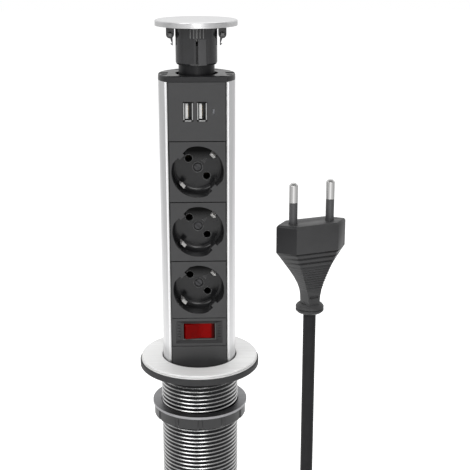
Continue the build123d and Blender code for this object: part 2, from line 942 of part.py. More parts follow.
def pad_sector(angle):
    """The wedge of space that one brake pad fills."""
    half = pad_span / 2
    reach = 2 * sleeve_r
    corners = [(0, 0), polar(reach, angle - half), polar(reach, angle), polar(reach, angle + half)]
    wedge = make_face(Polyline(*corners, close=True))
    return Pos(0, 0, pad_low) * extrude(wedge, amount=pad_high - pad_low)


def mounting_sleeve():
    """The tube through the desk, drawn at the thread's crest, with a flange and pad pockets."""
    flange_low = gasket_height - sleeve_flange_thick
    body = turn_solid([
        (sleeve_bore, sleeve_low),
        (sleeve_r - sleeve_edge, sleeve_low),
        (sleeve_r, sleeve_low + sleeve_edge),
        (sleeve_r, flange_low),
        (sleeve_flange_r, flange_low),
        (sleeve_flange_r, gasket_height),
        (sleeve_bore, gasket_height),
    ])
    pocket = tube(sleeve_bore + pad_depth, 0, pad_low, pad_high)
    for angle in pad_angles:
        body -= pocket & pad_sector(angle)
    return body


def brake_pads():
    """Felt pads in the sleeve's pockets, which hold the tower where it is put."""
    ring = tube(sleeve_bore + pad_depth - pad_fit, tower_r + sleeve_bore_gap * 2 / 3,
                pad_low + pad_fit, pad_high - pad_fit)
    return [ring & Rot(0, 0, 0) * pad_sector(angle) for angle in pad_angles]


def guide_insert():
    """Fills the sleeve in front of the tower's flat face, so that the tower can't turn."""
    round_part = tube(sleeve_bore - pad_fit, 0, guide_low, guide_high)
    return round_part - behind(-face_y - slide_gap)


def clamp_washer():
    high = -desk_thick
    return tube(washer_r, sleeve_r + clamp_gap, high - washer_thick, high)


def clamp_nut():
    """The ring nut, with a scalloped grip round its edge."""
    high = -desk_thick - washer_thick
    body = tube(nut_r, 0, high - nut_height, high)
    body = chamfer(body.edges(), nut_edge)
    for i in range(nut_grips):
        x, y = polar(nut_r + nut_grip_r / 2, i * 360 / nut_grips)
        body -= Pos(x, y, 0) * tube(nut_grip_r, 0, high - nut_height - cut, high + cut)
    return body - tube(sleeve_r + clamp_gap, 0, high - nut_height - cut, high + cut)


# Tower base, gland and terminals


def tower_base():
    """The round foot: a cup with a shoulder that stops the tower and a spigot in the extrusion."""
    inner = tower_r - base_wall
    body = turn_solid([
        (0, base_low),
        (tower_r - base_edge, base_low),
        (tower_r, base_low + base_edge),
        (tower_r, shell_low),
        (0, shell_low),
    ])
    body -= tube(inner, 0, base_low + base_floor, shell_low - base_shoulder)
    spigot = tube(spigot_r, 0, shell_low - base_shoulder, shell_low + spigot_height)
    body += spigot & behind(-spigot_front)
    body -= tube(base_opening_r, 0, shell_low - base_shoulder - cut, shell_low + cut)
    body -= tube(spigot_r - spigot_wall, 0, shell_low, shell_low + spigot_height + cut)
    body -= tube(gland_thread_r + cord_fit, 0, base_low - cut, base_low + base_floor + cut)
    for x, y in channel_centres():
        body -= screw_seat(x, y, shell_low - base_shoulder + screw_sunk, base_shoulder + cut, up=-1)
    return body


def base_screws():
    return [countersunk(x, y, shell_low - base_shoulder + screw_sunk, fastener_length, up=-1)
            for x, y in channel_centres()]


def cord_gland():
    """Gland and strain relief in one: thread through the floor, flange and a tapered nose."""
    bore = cord_r + cord_fit
    low = cord_exit
    thread_top = base_low + base_floor + gland_nut_thick
    flange_low = base_low - gland_flange_thick
    return turn_solid([
        (bore, low),
        (gland_nose_r, low),
        (gland_top_r, flange_low),
        (gland_flange_r, flange_low),
        (gland_flange_r, base_low),
        (gland_thread_r, base_low),
        (gland_thread_r, thread_top),
        (bore, thread_top),
    ])


def gland_nut():
    low = base_low + base_floor
    nut = Pos(0, 0, low) * extrude(RegularPolygon(gland_nut_r, 6), amount=gland_nut_thick)
    return nut - tube(gland_thread_r + pad_fit, 0, low - cut, low + gland_nut_thick + cut)


def terminal_places():
    return [i * block_screw_pitch for i in (-1, 0, 1)]


def terminal_block():
    """Three-way terminal block on the base's floor, with a wire hole and a screw well to each way."""
    low = base_low + base_floor
    body = block(-block_width / 2, block_width / 2, block_y, block_y + block_depth, low,
                 low + block_height)
    for x in terminal_places():
        body -= Pos(x, block_y + block_depth / 2, low + block_wire_rise + wire_r) * Cylinder(
            block_screw_r, block_height, align=base_align)
        body -= Pos(x, block_y, low + block_wire_rise) * Rot(90, 0, 0) * Cylinder(
            wire_r + pad_fit, block_depth)
    return body


def terminal_screws():
    low = base_low + base_floor + block_wire_rise + wire_r
    length = block_height - block_wire_rise - wire_r - block_screw_rise
    return [Pos(x, block_y + block_depth / 2, low)
            * Cylinder(block_screw_r - pad_fit, length, align=base_align)
            for x in terminal_places()]


def inner_wires():
    """Three leads from the terminal block: one up to each bus bar, round the back of the switch."""
    low = base_low + base_floor + block_wire_rise
    front = block_y - wire_reach
    bar_y = cup_back + sleeve_length - face_y + bus_thick + wire_r
    earth_y = cup_back + clip_thick - face_y + bus_thick + wire_r
    made = []
    for way in (-1, 0, 1):
        x, z_off = polar(way * pin_pitch / 2, socket_turn)
        points = [
            (way * block_screw_pitch, block_y + wire_r, low),
            (way * block_screw_pitch, front, low),
            (way * block_screw_pitch, front, shell_low - 4 * base_shoulder),
            (x, bar_y, shell_low + 2 * spigot_height),
        ]
        if way == 0:
            points.append((x, bar_y, switch_top))
            points.append((x, earth_y, switch_top + 2 * wire_reach))
            points.append((x, earth_y, socket_mids[-1]))
        else:
            points.append((x, bar_y, socket_mids[-1] + z_off))
        path = FilletPolyline(*points, radius=2 * wire_r)
        section = Plane(origin=path @ 0, z_dir=path % 0) * Circle(wire_r)
        made.append(sweep(section, path=path))
    return made


# Cord, coil and plug


def coil_radii():
    """Radii of the coil's half turns, inwards and out again, half a pitch apart."""
    step = coil_pitch / 2
    inward = [coil_r - i * step for i in range(coil_steps)]
    return inward + [coil_r - coil_steps * step] + list(reversed(inward[1:]))


def coil_path():
    """Half turns in an upright plane, joined on the level of the centre; the middle one climbs."""
    y = 0
    x = 0
    edges = []
    for i, radius in enumerate(coil_radii()):
        down = i % 2 == 0
        x_next = coil_pitch if i == coil_steps else x
        y_next = y - 2 * radius if down else y + 2 * radius
        dip = math.hypot(x_next - x, y_next - y) / 2
        dip = -dip if down else dip
        mid = ((x + x_next) / 2, (y + y_next) / 2, coil_z + dip)
        edges.append(ThreePointArc((x, y, coil_z), mid, (x_next, y_next, coil_z)))
        x, y = x_next, y_next
    half = math.sqrt(2) / 2
    mid = (x, y - coil_r * (1 - half), coil_z - coil_r * half)
    edges.append(ThreePointArc((x, y, coil_z), mid, (x, y - coil_r, coil_z - coil_r)))
    return edges


def coil_end():
    return coil_pitch, -coil_r, coil_z - coil_r


tail_points = [
    (0, 0, cord_exit + cord_inside),
    (0, 0, coil_z),
]

lead_points = [
    coil_end(),
    (coil_pitch, -84.0, coil_z - coil_r),
    (15.0, -150.0, -186.0),
    (30.0, -214.0, -166.0),
    (43.0, -269.0, -127.0),
    (plug_x, plug_y, -70.0),
    (plug_x, plug_y, plug_top - plug_grip - plug_taper - plug_neck - plug_flange),
]


def corner_radii(points):
    """The arc at each corner of a route, as large as its two runs allow."""
    radii = []
    for before, at, after in zip(points, points[1:], points[2:]):
        first = Vector(*at) - Vector(*before)
        second = Vector(*after) - Vector(*at)
        turn = math.radians(first.get_angle(second))
        radii.append(run_share * min(first.length, second.length) / math.tan(turn / 2))
    return radii


def cord_tube(name, points):
    """A tube along straight runs and tangent arcs; two points give one hanging run."""
    radii = corner_radii(points)
    path = FilletPolyline(*points, radius=radii) if radii else Line(*points)
    section = Plane(origin=path @ 0, z_dir=path % 0) * Circle(cord_r)
    made = sweep(section, path=path)
    ideal = math.pi * cord_r ** 2 * path.length
    print(name, "radii", [round(r, 1) for r in radii], "length", round(path.length, 1),
          "volume share", round(made.volume / ideal, 4))
    return made, path.length


def cord_coil():
    """The put-away turns as one unbroken tube."""
    edges = coil_path()
    path = Wire(edges)
    section = Plane(origin=edges[0] @ 0, z_dir=edges[0] % 0) * Circle(cord_r)
    made = sweep(section, path=path)
    ideal = math.pi * cord_r ** 2 * path.length
    print("coil length", round(path.length, 1), "volume share", round(made.volume / ideal, 4),
          "least gap to itself", round(coil_gap(edges), 2))
    return made, path.length


def coil_gap(edges):
    """The least gap between stretches of the coil that aren't neighbours along it."""
    steps = 24
    points = []
    along = 0
    for edge in edges:
        for i in range(steps):
            points.append((along + edge.length * i / steps, edge @ (i / steps)))
        along += edge.length
    least = coil_r
    for i, (s_a, a) in enumerate(points):
        for s_b, b in points[i + 1:]:
            if s_b - s_a > 4 * cord_d:
                least = min(least, (a - b).length - cord_d)
    return least


def cord_tie():
    """The band that holds the coil's turns together at its top."""
    turns = (coil_steps + 1) // 2
    outer = coil_r - coil_pitch / 2 + cord_r + tie_gap
    inner = outer - (turns - 1) * coil_pitch - cord_d - 2 * tie_gap - tie_slack
    wide = coil_pitch + cord_d + 2 * tie_gap
    tall = outer - inner
    corner = cord_r / 2
    hole = RectangleRounded(wide, tall, corner)
    band = RectangleRounded(wide + 2 * tie_thick, tall + 2 * tie_thick, corner + tie_thick) - hole
    centre = (coil_pitch / 2, -coil_r, coil_z + (outer + inner) / 2)
    plane = Plane(origin=centre, x_dir=(1, 0, 0), z_dir=(0, -1, 0))
    return plane.location * extrude(band, amount=tie_width / 2, both=True)


def plug_frame(part):
    return Pos(plug_x, plug_y, plug_top) * Rot(0, 0, plug_turn) * part


def plug_section(half_width, half_thick, half_front, z):
    corners = [
        (-half_width, 0),
        (-half_front, -half_thick),
        (half_front, -half_thick),
        (half_width, 0),
        (half_front, half_thick),
        (-half_front, half_thick),
    ]
    return Pos(0, 0, z) * make_face(Polyline(*corners, close=True))


taper_depth_shares = (0, 0.3, 0.62, 1)
taper_width_shares = (1, 0.52, 0.2, 0)
taper_front_shares = (1, 0.6, 0.25, 0)


def plug_body():
    """Six-sided grip that sweeps in to a short neck, ribs on both faces and a round end flange."""
    half_w = plug_width / 2
    half_t = plug_thick / 2
    half_f = plug_front / 2
    neck_half = plug_neck_width / 2
    neck_front = neck_half / 2
    grip = extrude(plug_section(half_w, half_t, half_f, -plug_grip), amount=plug_grip)
    grip = chamfer(grip.faces().sort_by(Axis.Z)[-1].edges(), plug_edge)
    sections = []
    for depth, wide, front in zip(taper_depth_shares, taper_width_shares, taper_front_shares):
        sections.append(plug_section(
            neck_half + (half_w - neck_half) * wide,
            neck_half + (half_t - neck_half) * (1 - depth),
            neck_front + (half_f - neck_front) * front,
            -plug_grip - plug_taper * depth,
        ))
    taper = loft(sections, ruled=True)
    neck_low_z = -plug_grip - plug_taper - plug_neck
    stem = extrude(plug_section(neck_half, neck_half, neck_front, neck_low_z), amount=plug_neck)
    flange_low = neck_low_z - plug_flange
    flange = turn_solid([
        (0, flange_low),
        (plug_flange_r - plug_edge, flange_low),
        (plug_flange_r, flange_low + plug_edge),
        (plug_flange_r, neck_low_z - plug_flange / 3),
        (plug_flange_r - plug_flange / 3, neck_low_z),
        (0, neck_low_z),
    ])
    body = grip + taper + stem + flange
    for i in range(plug_ribs):
        z = -plug_grip - (i + 1) * plug_rib_pitch
        for side in (1, -1):
            drop = (i + 1) * plug_rib_pitch / plug_taper
            reach = neck_half + (half_t - neck_half) * (1 - drop)
            groove = Pos(0, side * (reach + plug_rib_depth / 2), z) * Box(
                plug_width, 2 * plug_rib_depth, plug_rib_height)
            body -= groove
    for side in (1, -1):
        body -= Pos(side * plug_pin_pitch / 2, 0, 0) * tube(plug_pin_r, 0, -plug_pin_root, cut)
    return plug_frame(body)


def plug_pins():
    """The two metal pins, thinner where the insulating sleeve covers them."""
    made = []
    metal_low = plug_pin_length - plug_metal_length
    waist = plug_pin_r * 3 / 4
    for side in (1, -1):
        pin = turn_solid([
            (0, -plug_pin_root),
            (waist, -plug_pin_root),
            (waist, metal_low),
            (plug_pin_r, metal_low),
            (plug_pin_r, plug_pin_length - plug_pin_r / 2),
            (plug_pin_r / 2, plug_pin_length),
            (0, plug_pin_length),
        ])
        made.append(plug_frame(Pos(side * plug_pin_pitch / 2, 0, 0) * pin))
    return made


def plug_sleeves():
    made = []
    metal_low = plug_pin_length - plug_metal_length
    for side in (1, -1):
        sleeve = tube(plug_pin_r - pad_fit, plug_pin_r * 3 / 4, -plug_pin_root, metal_low)
        made.append(plug_frame(Pos(side * plug_pin_pitch / 2, 0, 0) * sleeve))
    return made


# Writing one file to a node


def write(name, shape):
    solids = shape if isinstance(shape, list) else [shape]
    flat = []
    for solid in solids:
        flat.extend(solid.solids())
    whole = flat[0] if len(flat) == 1 else Compound(children=flat)
    whole.label = name
    export_step(whole, os.path.join("parts", name + ".step"))


def main():
    os.makedirs("parts", exist_ok=True)
    write("tower_shell", tower_shell())
    write("top_cap", top_cap())
    write("cap_screws", cap_screws())
    insert = socket_insert()
    clip = Rot(0, 0, socket_turn) * earth_clip()
    for name, z_mid in zip(("upper", "middle", "lower"), socket_mids):
        write("socket_" + name, on_face(z_mid, insert))
        write("earth_clip_" + name, on_face(z_mid, clip))
    screw = Rot(0, 0, socket_turn) * socket_screw()
    write("socket_screws", [on_face(z_mid, screw) for z_mid in socket_mids])
    write("contact_sleeves", contact_sleeves())
    write("bus_bar_live", bus_bar(1))
    write("bus_bar_neutral", bus_bar(-1))
    write("earth_bus", earth_bus())
    write("usb_panel", on_face(usb_mid(), usb_panel()))
    write("usb_shells", usb_shells())
    write("usb_tongues", usb_tongues())
    write("usb_contacts", usb_contacts())
    write("usb_board", usb_board())
    write("usb_transformer", usb_transformer())
    write("usb_indicator", usb_indicator())
    write("switch_panel", on_face(switch_mid(), switch_panel()))
    write("switch_housing", switch_housing())
    write("rocker", rocker())
    write("switch_lamp", switch_lamp())
    write("switch_blades", switch_blades())
    write("lower_panel", lower_panel())
    write("lid_disc", lid_disc())
    write("lid_base", lid_base())
    write("lid_screws", lid_screws())
    write("neck", neck())
    write("neck_core", neck_core())
    write("lid_spring", lid_spring())
    for side, name in ((-1, "left"), (1, "right")):
        write("latch_bracket_" + name, latch_bracket(side))
        write("latch_hook_" + name, latch_hook_lever(side))
    write("latch_pins", [latch_pin(side) for side in (-1, 1)])
    write("latch_springs", [latch_spring(side) for side in (-1, 1)])
    write("collar_gasket", collar_gasket())
    write("collar_ring", collar_ring())
    write("mounting_sleeve", mounting_sleeve())
    write("brake_pads", brake_pads())
    write("guide_insert", guide_insert())
    write("clamp_washer", clamp_washer())
    write("clamp_nut", clamp_nut())
    write("tower_base", tower_base())
    write("base_screws", base_screws())
    write("cord_gland", cord_gland())
    write("gland_nut", gland_nut())
    write("terminal_block", terminal_block())
    write("terminal_screws", terminal_screws())
    write("inner_wires", inner_wires())
    tail, tail_length = cord_tube("tail", tail_points)
    coil, coil_length = cord_coil()
    lead, lead_length = cord_tube("lead", lead_points)
    write("cord_tail", tail)
    write("cord_coil", coil)
    write("cord_lead", lead)
    write("cord_tie", cord_tie())
    write("plug_body", plug_body())
    write("plug_pins", plug_pins())
    write("plug_sleeves", plug_sleeves())
    print("cord length", round(tail_length + coil_length + lead_length, 1))
    print("tower travel", round(tower_travel, 2), "lid travel", lid_travel)


main()
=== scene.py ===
# Pop up desk socket: how the parts of the CAD frame look, and the pieces made in their place.
# Metres, +Z up, and the user stands at -Y. The origin is in the plane of the desk top.

import math

import bmesh
import bpy
from mathutils import Matrix, Vector


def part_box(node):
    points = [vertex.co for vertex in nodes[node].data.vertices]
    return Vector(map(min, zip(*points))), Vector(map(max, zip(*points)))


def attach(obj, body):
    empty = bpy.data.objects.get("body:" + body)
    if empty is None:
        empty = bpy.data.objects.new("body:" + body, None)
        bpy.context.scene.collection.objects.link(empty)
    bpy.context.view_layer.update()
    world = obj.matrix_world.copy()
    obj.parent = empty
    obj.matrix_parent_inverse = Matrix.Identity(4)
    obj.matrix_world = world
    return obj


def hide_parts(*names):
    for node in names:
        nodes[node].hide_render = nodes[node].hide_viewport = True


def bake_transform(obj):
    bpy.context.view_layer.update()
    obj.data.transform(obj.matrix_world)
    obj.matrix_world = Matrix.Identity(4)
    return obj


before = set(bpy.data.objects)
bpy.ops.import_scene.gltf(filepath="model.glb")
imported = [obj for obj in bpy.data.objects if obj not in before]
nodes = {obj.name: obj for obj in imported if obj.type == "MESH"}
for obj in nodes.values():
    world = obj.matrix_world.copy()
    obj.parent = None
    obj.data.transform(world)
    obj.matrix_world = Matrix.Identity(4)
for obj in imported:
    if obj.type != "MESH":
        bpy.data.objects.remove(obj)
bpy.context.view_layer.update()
MM = 0.001
SHARP = math.radians(32)  # wider angles between faces are shaded as edges
SOFT_EDGE = 0.0002


# Places worked out from the frame


def middle(node):
    low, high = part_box(node)
    return (low + high) / 2


PLATE_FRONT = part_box("usb_panel")[0].y
PLATE_Y = PLATE_FRONT + 0.00006  # tells a face plate's front from all that lies behind it
RECESS_DEPTH = 0.0175
RECESS_FLOOR = PLATE_FRONT + RECESS_DEPTH
SOCKETS = ("socket_upper", "socket_middle", "socket_lower")
SOCKET_PITCH = middle(SOCKETS[0]).z - middle(SOCKETS[1]).z
SOCKET_TOP = middle(SOCKETS[0]).z + SOCKET_PITCH / 2
PLUG = middle("plug_body")
PLUG.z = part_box("plug_body")[1].z


# Camera

FOCAL = 80.81  # mm, on a sensor 36 mm wide
CAMERA_AT = (0, -0.770, 0.331)
LOOK_DOWN = 16.417  # degrees
LOOK_RIGHT = 2.077  # degrees

lens = bpy.data.cameras.new("camera")
lens.lens = FOCAL
lens.sensor_width = 36
camera = bpy.data.objects.new("camera", lens)
camera.location = CAMERA_AT
camera.rotation_euler = (math.radians(90 - LOOK_DOWN), 0, math.radians(-LOOK_RIGHT))
bpy.context.scene.collection.objects.link(camera)
bpy.context.scene.camera = camera


# Helpers for meshes


def link(name, data):
    obj = bpy.data.objects.new(name, data)
    bpy.context.scene.collection.objects.link(obj)
    return obj


def shade_smooth(mesh):
    mesh.polygons.foreach_set("use_smooth", [True] * len(mesh.polygons))
    mesh.set_sharp_from_angle(angle=SHARP)


def mesh_piece(name, bm, smooth=True):
    bmesh.ops.recalc_face_normals(bm, faces=bm.faces)
    mesh = bpy.data.meshes.new(name)
    bm.to_mesh(mesh)
    bm.free()
    if smooth:
        shade_smooth(mesh)
    return link(name, mesh)


def bake(obj):
    """Applies an object's modifiers."""
    bpy.context.view_layer.update()
    graph = bpy.context.evaluated_depsgraph_get()
    mesh = bpy.data.meshes.new_from_object(obj.evaluated_get(graph))
    obj.modifiers.clear()
    obj.data = mesh
    shade_smooth(mesh)
    return obj


def carve(obj, cutters):
    """Cuts the cutters out of an object and removes them."""
    for cutter in cutters:
        cut = obj.modifiers.new("cut", "BOOLEAN")
        cut.operation = "DIFFERENCE"
        cut.solver = "EXACT"
        cut.object = cutter
    bake(obj)
    for cutter in cutters:
        bpy.data.objects.remove(cutter)
    return obj


def soften(obj, angle):
    """Rounds the edges that are sharper than an angle in degrees."""
    bevel = obj.modifiers.new("edges", "BEVEL")
    bevel.width = SOFT_EDGE
    bevel.segments = 2
    bevel.limit_method = "ANGLE"
    bevel.angle_limit = math.radians(angle)
    return bake(obj)


def box_mesh(bm, low, high, place=None):
    """Adds a box between two corners, then places it."""
    made = bmesh.ops.create_cube(bm, size=1)
    size = Vector(high) - Vector(low)
    centre = (Vector(high) + Vector(low)) / 2
    for v in made["verts"]:
        v.co = Vector((v.co.x * size.x, v.co.y * size.y, v.co.z * size.z)) + centre
        if place:
            v.co = place @ v.co


def lathe(bm, profile, steps=96, closed=True, place=None):
    """Turns (radius, height) corners about Z; a closed profile gives a ring."""
    rings = []
    for i in range(steps):
        a = 2 * math.pi * i / steps
        ring = []
        for r, z in profile:
            point = Vector((r * math.cos(a), r * math.sin(a), z))
            ring.append(bm.verts.new(place @ point if place else point))
        rings.append(ring)
    count = len(profile)
    for i in range(steps):
        a, b = rings[i], rings[(i + 1) % steps]
        for k in range(count if closed else count - 1):
            n = (k + 1) % count
            bm.faces.new((a[k], b[k], b[n], a[n]))
    if not closed:
        bmesh.ops.remove_doubles(bm, verts=[v for ring in rings for v in ring], dist=1e-7)


# Cord: one smooth line from the gland through its put-away coil to the plug

COIL_R = 0.0425
COIL_STEP = 0.0034
COIL_PITCH = 0.0068
COIL_Z = -0.148
COIL_INWARD = 5  # half turns of the first layer; those of the second grow again
CORD_R = 0.003
ARC_START, ARC_STEP = 15, 30  # degrees along a half turn of the coil
REACH = 1 / math.cos(math.radians(ARC_START))  # the spline's points lie outside its arc


def cord_points():
    """Points of the route, with six to each half turn of the coil."""
    points = [(0, 0, -0.088), (0, 0, -0.118)]
    radii = [COIL_R - i * COIL_STEP for i in range(COIL_INWARD)]
    radii += list(reversed(radii[1:-1]))
    y = 0
    for i, r in enumerate(radii):
        side = -1 if i % 2 == 0 else 1
        centre = y + side * r
        x0 = 0 if i < COIL_INWARD else COIL_PITCH
        rc = r * REACH
        for k in range(180 // ARC_STEP):
            angle = ARC_START + ARC_STEP * k
            a = math.radians(angle)
            x = COIL_PITCH * angle / 180 if i == COIL_INWARD - 1 else x0
            points.append((x, centre - side * rc * math.cos(a), COIL_Z + side * rc * math.sin(a)))
        y += side * 2 * r
    rc = COIL_R * REACH
    for k in range(90 // ARC_STEP):
        a = math.radians(ARC_START + ARC_STEP * k)
        points.append((COIL_PITCH, -COIL_R + rc * math.cos(a), COIL_Z - rc * math.sin(a)))
    points += [
        (COIL_PITCH, -0.084, COIL_Z - COIL_R),
        (0.015, -0.150, -0.186),
        (0.030, -0.214, -0.166),
        (0.043, -0.269, -0.127),
        (0.052, -0.305, -0.070),
        (0.052, -0.305, -0.010),
        (0.052, -0.305, 0.1561),
    ]
    return points


curve = bpy.data.curves.new("cord", "CURVE")
curve.dimensions = "3D"
line = curve.splines.new("NURBS")
route = cord_points()
line.points.add(len(route) - 1)
for point, at in zip(line.points, route):
    point.co = (*at, 1)
    point.radius = CORD_R  # carries the thickness, so that the bounds hold only the cord
line.order_u = 3
line.use_endpoint_u = True
curve.resolution_u = 12
curve.bevel_depth = 1.0
curve.bevel_resolution = 8
curve.use_fill_caps = True
cord = link("cord", curve)
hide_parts("cord_tail", "cord_coil", "cord_lead")
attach(cord, "tower")


# Materials

SPARK = 5200  # scale of the fine grain of a spark-eroded mould
BRUSH = 3600  # scale of the finest brush marks
CLOUD = 160  # scale of the slow changes of tone and gloss


def wire(tree, operation, *values):
    """A math node whose inputs are numbers or other outputs."""
    node = tree.nodes.new("ShaderNodeMath")
    node.operation = operation
    for socket, value in zip(node.inputs, values):
        if isinstance(value, (int, float)):
            socket.default_value = value
        else:
            tree.links.new(value, socket)
    return node.outputs[0]


class Paint:
    """A node material built on the Principled shader, in object coordinates."""

    def __init__(self, name, colour, metallic=0.0, roughness=0.5, **sockets):
        self.mat = bpy.data.materials.new(name)
        self.mat.use_nodes = True
        self.tree = self.mat.node_tree
        self.shader = self.tree.nodes["Principled BSDF"]
        self.shader.inputs["Base Color"].default_value = (*colour, 1)
        self.shader.inputs["Metallic"].default_value = metallic
        self.shader.inputs["Roughness"].default_value = roughness
        for key, value in sockets.items():
            self.shader.inputs[key.replace("_", " ")].default_value = value
        self.coords = self.add("ShaderNodeTexCoord").outputs["Object"]

    def add(self, kind, **values):
        node = self.tree.nodes.new(kind)
        for key, value in values.items():
            setattr(node, key, value)
        return node

    def join(self, start, end):
        self.tree.links.new(start, end)

    def mapped(self, scale, turn=(0, 0, 0)):
        node = self.add("ShaderNodeMapping")
        node.inputs["Scale"].default_value = scale
        node.inputs["Rotation"].default_value = turn
        self.join(self.coords, node.inputs["Vector"])
        return node.outputs["Vector"]

    def noise(self, scale, stretch=(1, 1, 1), detail=3, rough=0.5):
        node = self.add("ShaderNodeTexNoise")
        node.inputs["Scale"].default_value = scale
        node.inputs["Detail"].default_value = detail
        node.inputs["Roughness"].default_value = rough
        self.join(self.mapped(stretch), node.inputs["Vector"])
        return node.outputs["Fac"]

    def ranged(self, value, low, high, start=0.3, end=0.7):
        """Low to high while the value goes from start to end."""
        node = self.add("ShaderNodeMapRange")
        node.inputs["From Min"].default_value = start
        node.inputs["From Max"].default_value = end
        node.inputs["To Min"].default_value = low
        node.inputs["To Max"].default_value = high
        self.join(value, node.inputs["Value"])
        return node.outputs["Result"]

    def mix(self, fac, first, second):
        """Mixes two colours, which are the mix node's inputs 6 and 7 and its output 2."""
        node = self.add("ShaderNodeMix", data_type="RGBA")
        for socket, value in ((node.inputs[6], first), (node.inputs[7], second)):
            if isinstance(value, tuple):
                socket.default_value = (*value, 1)
            else:
                self.join(value, socket)
        self.join(fac, node.inputs["Factor"])
        return node.outputs[2]

    def math(self, operation, *values):
        return wire(self.tree, operation, *values)

    def tone(self, fac, colour, shade):
        """A colour that falls to a share of itself where the factor is low."""
        return self.mix(self.ranged(fac, 0, 1), tuple(c * shade for c in colour), colour)

    def axis(self, name):
        node = self.add("ShaderNodeSeparateXYZ")
        self.join(self.coords, node.inputs[0])
        return node.outputs[name]

    def between(self, name, low, high):
        """One where a coordinate lies between two values."""
        value = self.axis(name)
        above = self.math("GREATER_THAN", value, low)
        return self.math("MULTIPLY", above, self.math("LESS_THAN", value, high))

    def colour(self, socket):
        self.join(socket, self.shader.inputs["Base Color"])

    def rough(self, socket):
        self.join(socket, self.shader.inputs["Roughness"])

    def bump(self, height, strength, distance, edge=0.0):
        node = self.add("ShaderNodeBump")
        node.inputs["Strength"].default_value = strength
        node.inputs["Distance"].default_value = distance
        self.join(height, node.inputs["Height"])
        if edge:
            round_edge = self.add("ShaderNodeBevel", samples=4)
            round_edge.inputs["Radius"].default_value = edge
            self.join(round_edge.outputs["Normal"], node.inputs["Normal"])
        self.join(node.outputs["Normal"], self.shader.inputs["Normal"])


def brushed(name, colour, direction, low, high, grain=1.0, metallic=1.0):
    """Metal brushed along one axis: the grain is long that way and fine across it."""
    paint = Paint(name, colour, metallic)
    stretch = [1.0, 1.0, 1.0]
    stretch[direction] = 0.02
    fine = paint.noise(BRUSH * grain, stretch, 2)
    broad = paint.noise(700 * grain, stretch, 3)
    paint.colour(paint.tone(broad, colour, 0.9))
    paint.rough(paint.ranged(fine, low, high))
    paint.bump(paint.math("MULTIPLY_ADD", fine, 0.5, 0.25), 0.25, 0.00002, 0.0003)
    return paint.mat


def plastic(name, colour, low, high, bump=0.12, shade=0.85, **sockets):
    """Moulded plastic: a fine spark-eroded grain, with slightly uneven gloss."""
    paint = Paint(name, colour, 0.0, (low + high) / 2, **sockets)
    cloud = paint.noise(CLOUD, detail=4)
    paint.colour(paint.tone(cloud, colour, shade))
    paint.rough(paint.ranged(cloud, low, high))
    paint.bump(paint.noise(SPARK, detail=2), bump, 0.00004, 0.00025)
    return paint.mat


SATIN = (0.0215, 0.0215, 0.0225)
# Paler than SATIN: painted light, which evens out the face's tone down the tower
LOW_SATIN_PAINTED_LIGHT = (0.032, 0.032, 0.033)
GLOSS = (0.008, 0.008, 0.009)
RIM_SHADOW = (0.0105, 0.0170)  # below a socket's upper edge, from its rim to the lit floor


def socket_paint():
    """A socket: satin at its face, glossy in its recess, and painted paler down the tower as
    painted light.

    The recess's wall is paler than its floor, and a painted shadow darkens the floor under the
    upper rim."""
    paint = Paint("socket_plastic", SATIN, 0.0, 0.5)
    inside = paint.math("GREATER_THAN", paint.axis("Y"), PLATE_Y)
    outside = paint.math("SUBTRACT", 1.0, inside)
    fine = paint.noise(SPARK, detail=2)
    cloud = paint.noise(CLOUD, detail=4)
    # painted light: the face is painted paler towards the bottom of the tower
    lower = paint.ranged(paint.axis("Z"), 1, 0, 0.02, 0.18)
    satin = paint.mix(lower, paint.tone(cloud, SATIN, 0.9), LOW_SATIN_PAINTED_LIGHT)
    wall = paint.between("Y", PLATE_Y, RECESS_FLOOR - 0.0003)
    gloss = paint.mix(wall, paint.tone(cloud, GLOSS, 0.8), (0.020, 0.020, 0.021))
    # painted shadow: darker colour and less shine on the floor under each socket's upper rim
    below = paint.math("SUBTRACT", SOCKET_TOP, paint.axis("Z"))
    below = paint.math("MODULO", below, SOCKET_PITCH)
    shaded = paint.ranged(below, 1, 0, *RIM_SHADOW)
    gloss = paint.mix(shaded, gloss, (0.002, 0.002, 0.002))
    shine = paint.ranged(below, 0.04, 0.30, *RIM_SHADOW)
    shine = paint.math("MULTIPLY", shine, inside)
    shine = paint.math("ADD", shine, paint.math("MULTIPLY", outside, 0.5))
    paint.join(shine, paint.shader.inputs["Specular IOR Level"])
    paint.colour(paint.mix(inside, satin, gloss))
    mixed = paint.add("ShaderNodeMix", data_type="FLOAT")
    dull, smooth, rough = mixed.inputs[2], mixed.inputs[3], mixed.outputs[0]
    paint.join(inside, mixed.inputs["Factor"])
    paint.join(paint.ranged(cloud, 0.44, 0.54), dull)
    paint.join(paint.ranged(cloud, 0.16, 0.24), smooth)
    paint.rough(rough)
    paint.bump(paint.math("MULTIPLY", fine, outside), 0.12, 0.00004, 0.0003)
    return paint.mat


def shell_paint():
    """Satin anodised extrusion, brushed lengthwise, with its two front lips cut bright."""
    lip_back, lip_side = -0.0160, 0.0221
    paint = Paint("shell_metal", (0.7, 0.7, 0.705), 1.0, 0.34)
    fine = paint.noise(BRUSH, (1, 1, 0.02), 2)
    broad = paint.noise(700, (1, 1, 0.02), 3)
    satin = paint.mix(paint.ranged(broad, 0, 1), (0.60, 0.60, 0.606), (0.68, 0.68, 0.686))
    lip = paint.math("MULTIPLY", paint.math("LESS_THAN", paint.axis("Y"), lip_back),
                     paint.between("X", -lip_side, lip_side))
    paint.colour(paint.mix(lip, satin, (0.47, 0.47, 0.47)))
    paint.rough(paint.ranged(fine, 0.28, 0.40))
    paint.bump(fine, 0.2, 0.00002, 0.0002)
    return paint.mat


def cap_paint():
    """Black cap with a half-gloss face, which still mirrors the room at a low angle."""
    paint = Paint("cap_plastic", (0.009, 0.009, 0.010), 0.0, 0.32, Specular_IOR_Level=0.3)
    cloud = paint.noise(260, detail=3)
    paint.rough(paint.ranged(cloud, 0.28, 0.36))
    paint.bump(cloud, 0.03, 0.0001, 0.0003)
    return paint.mat


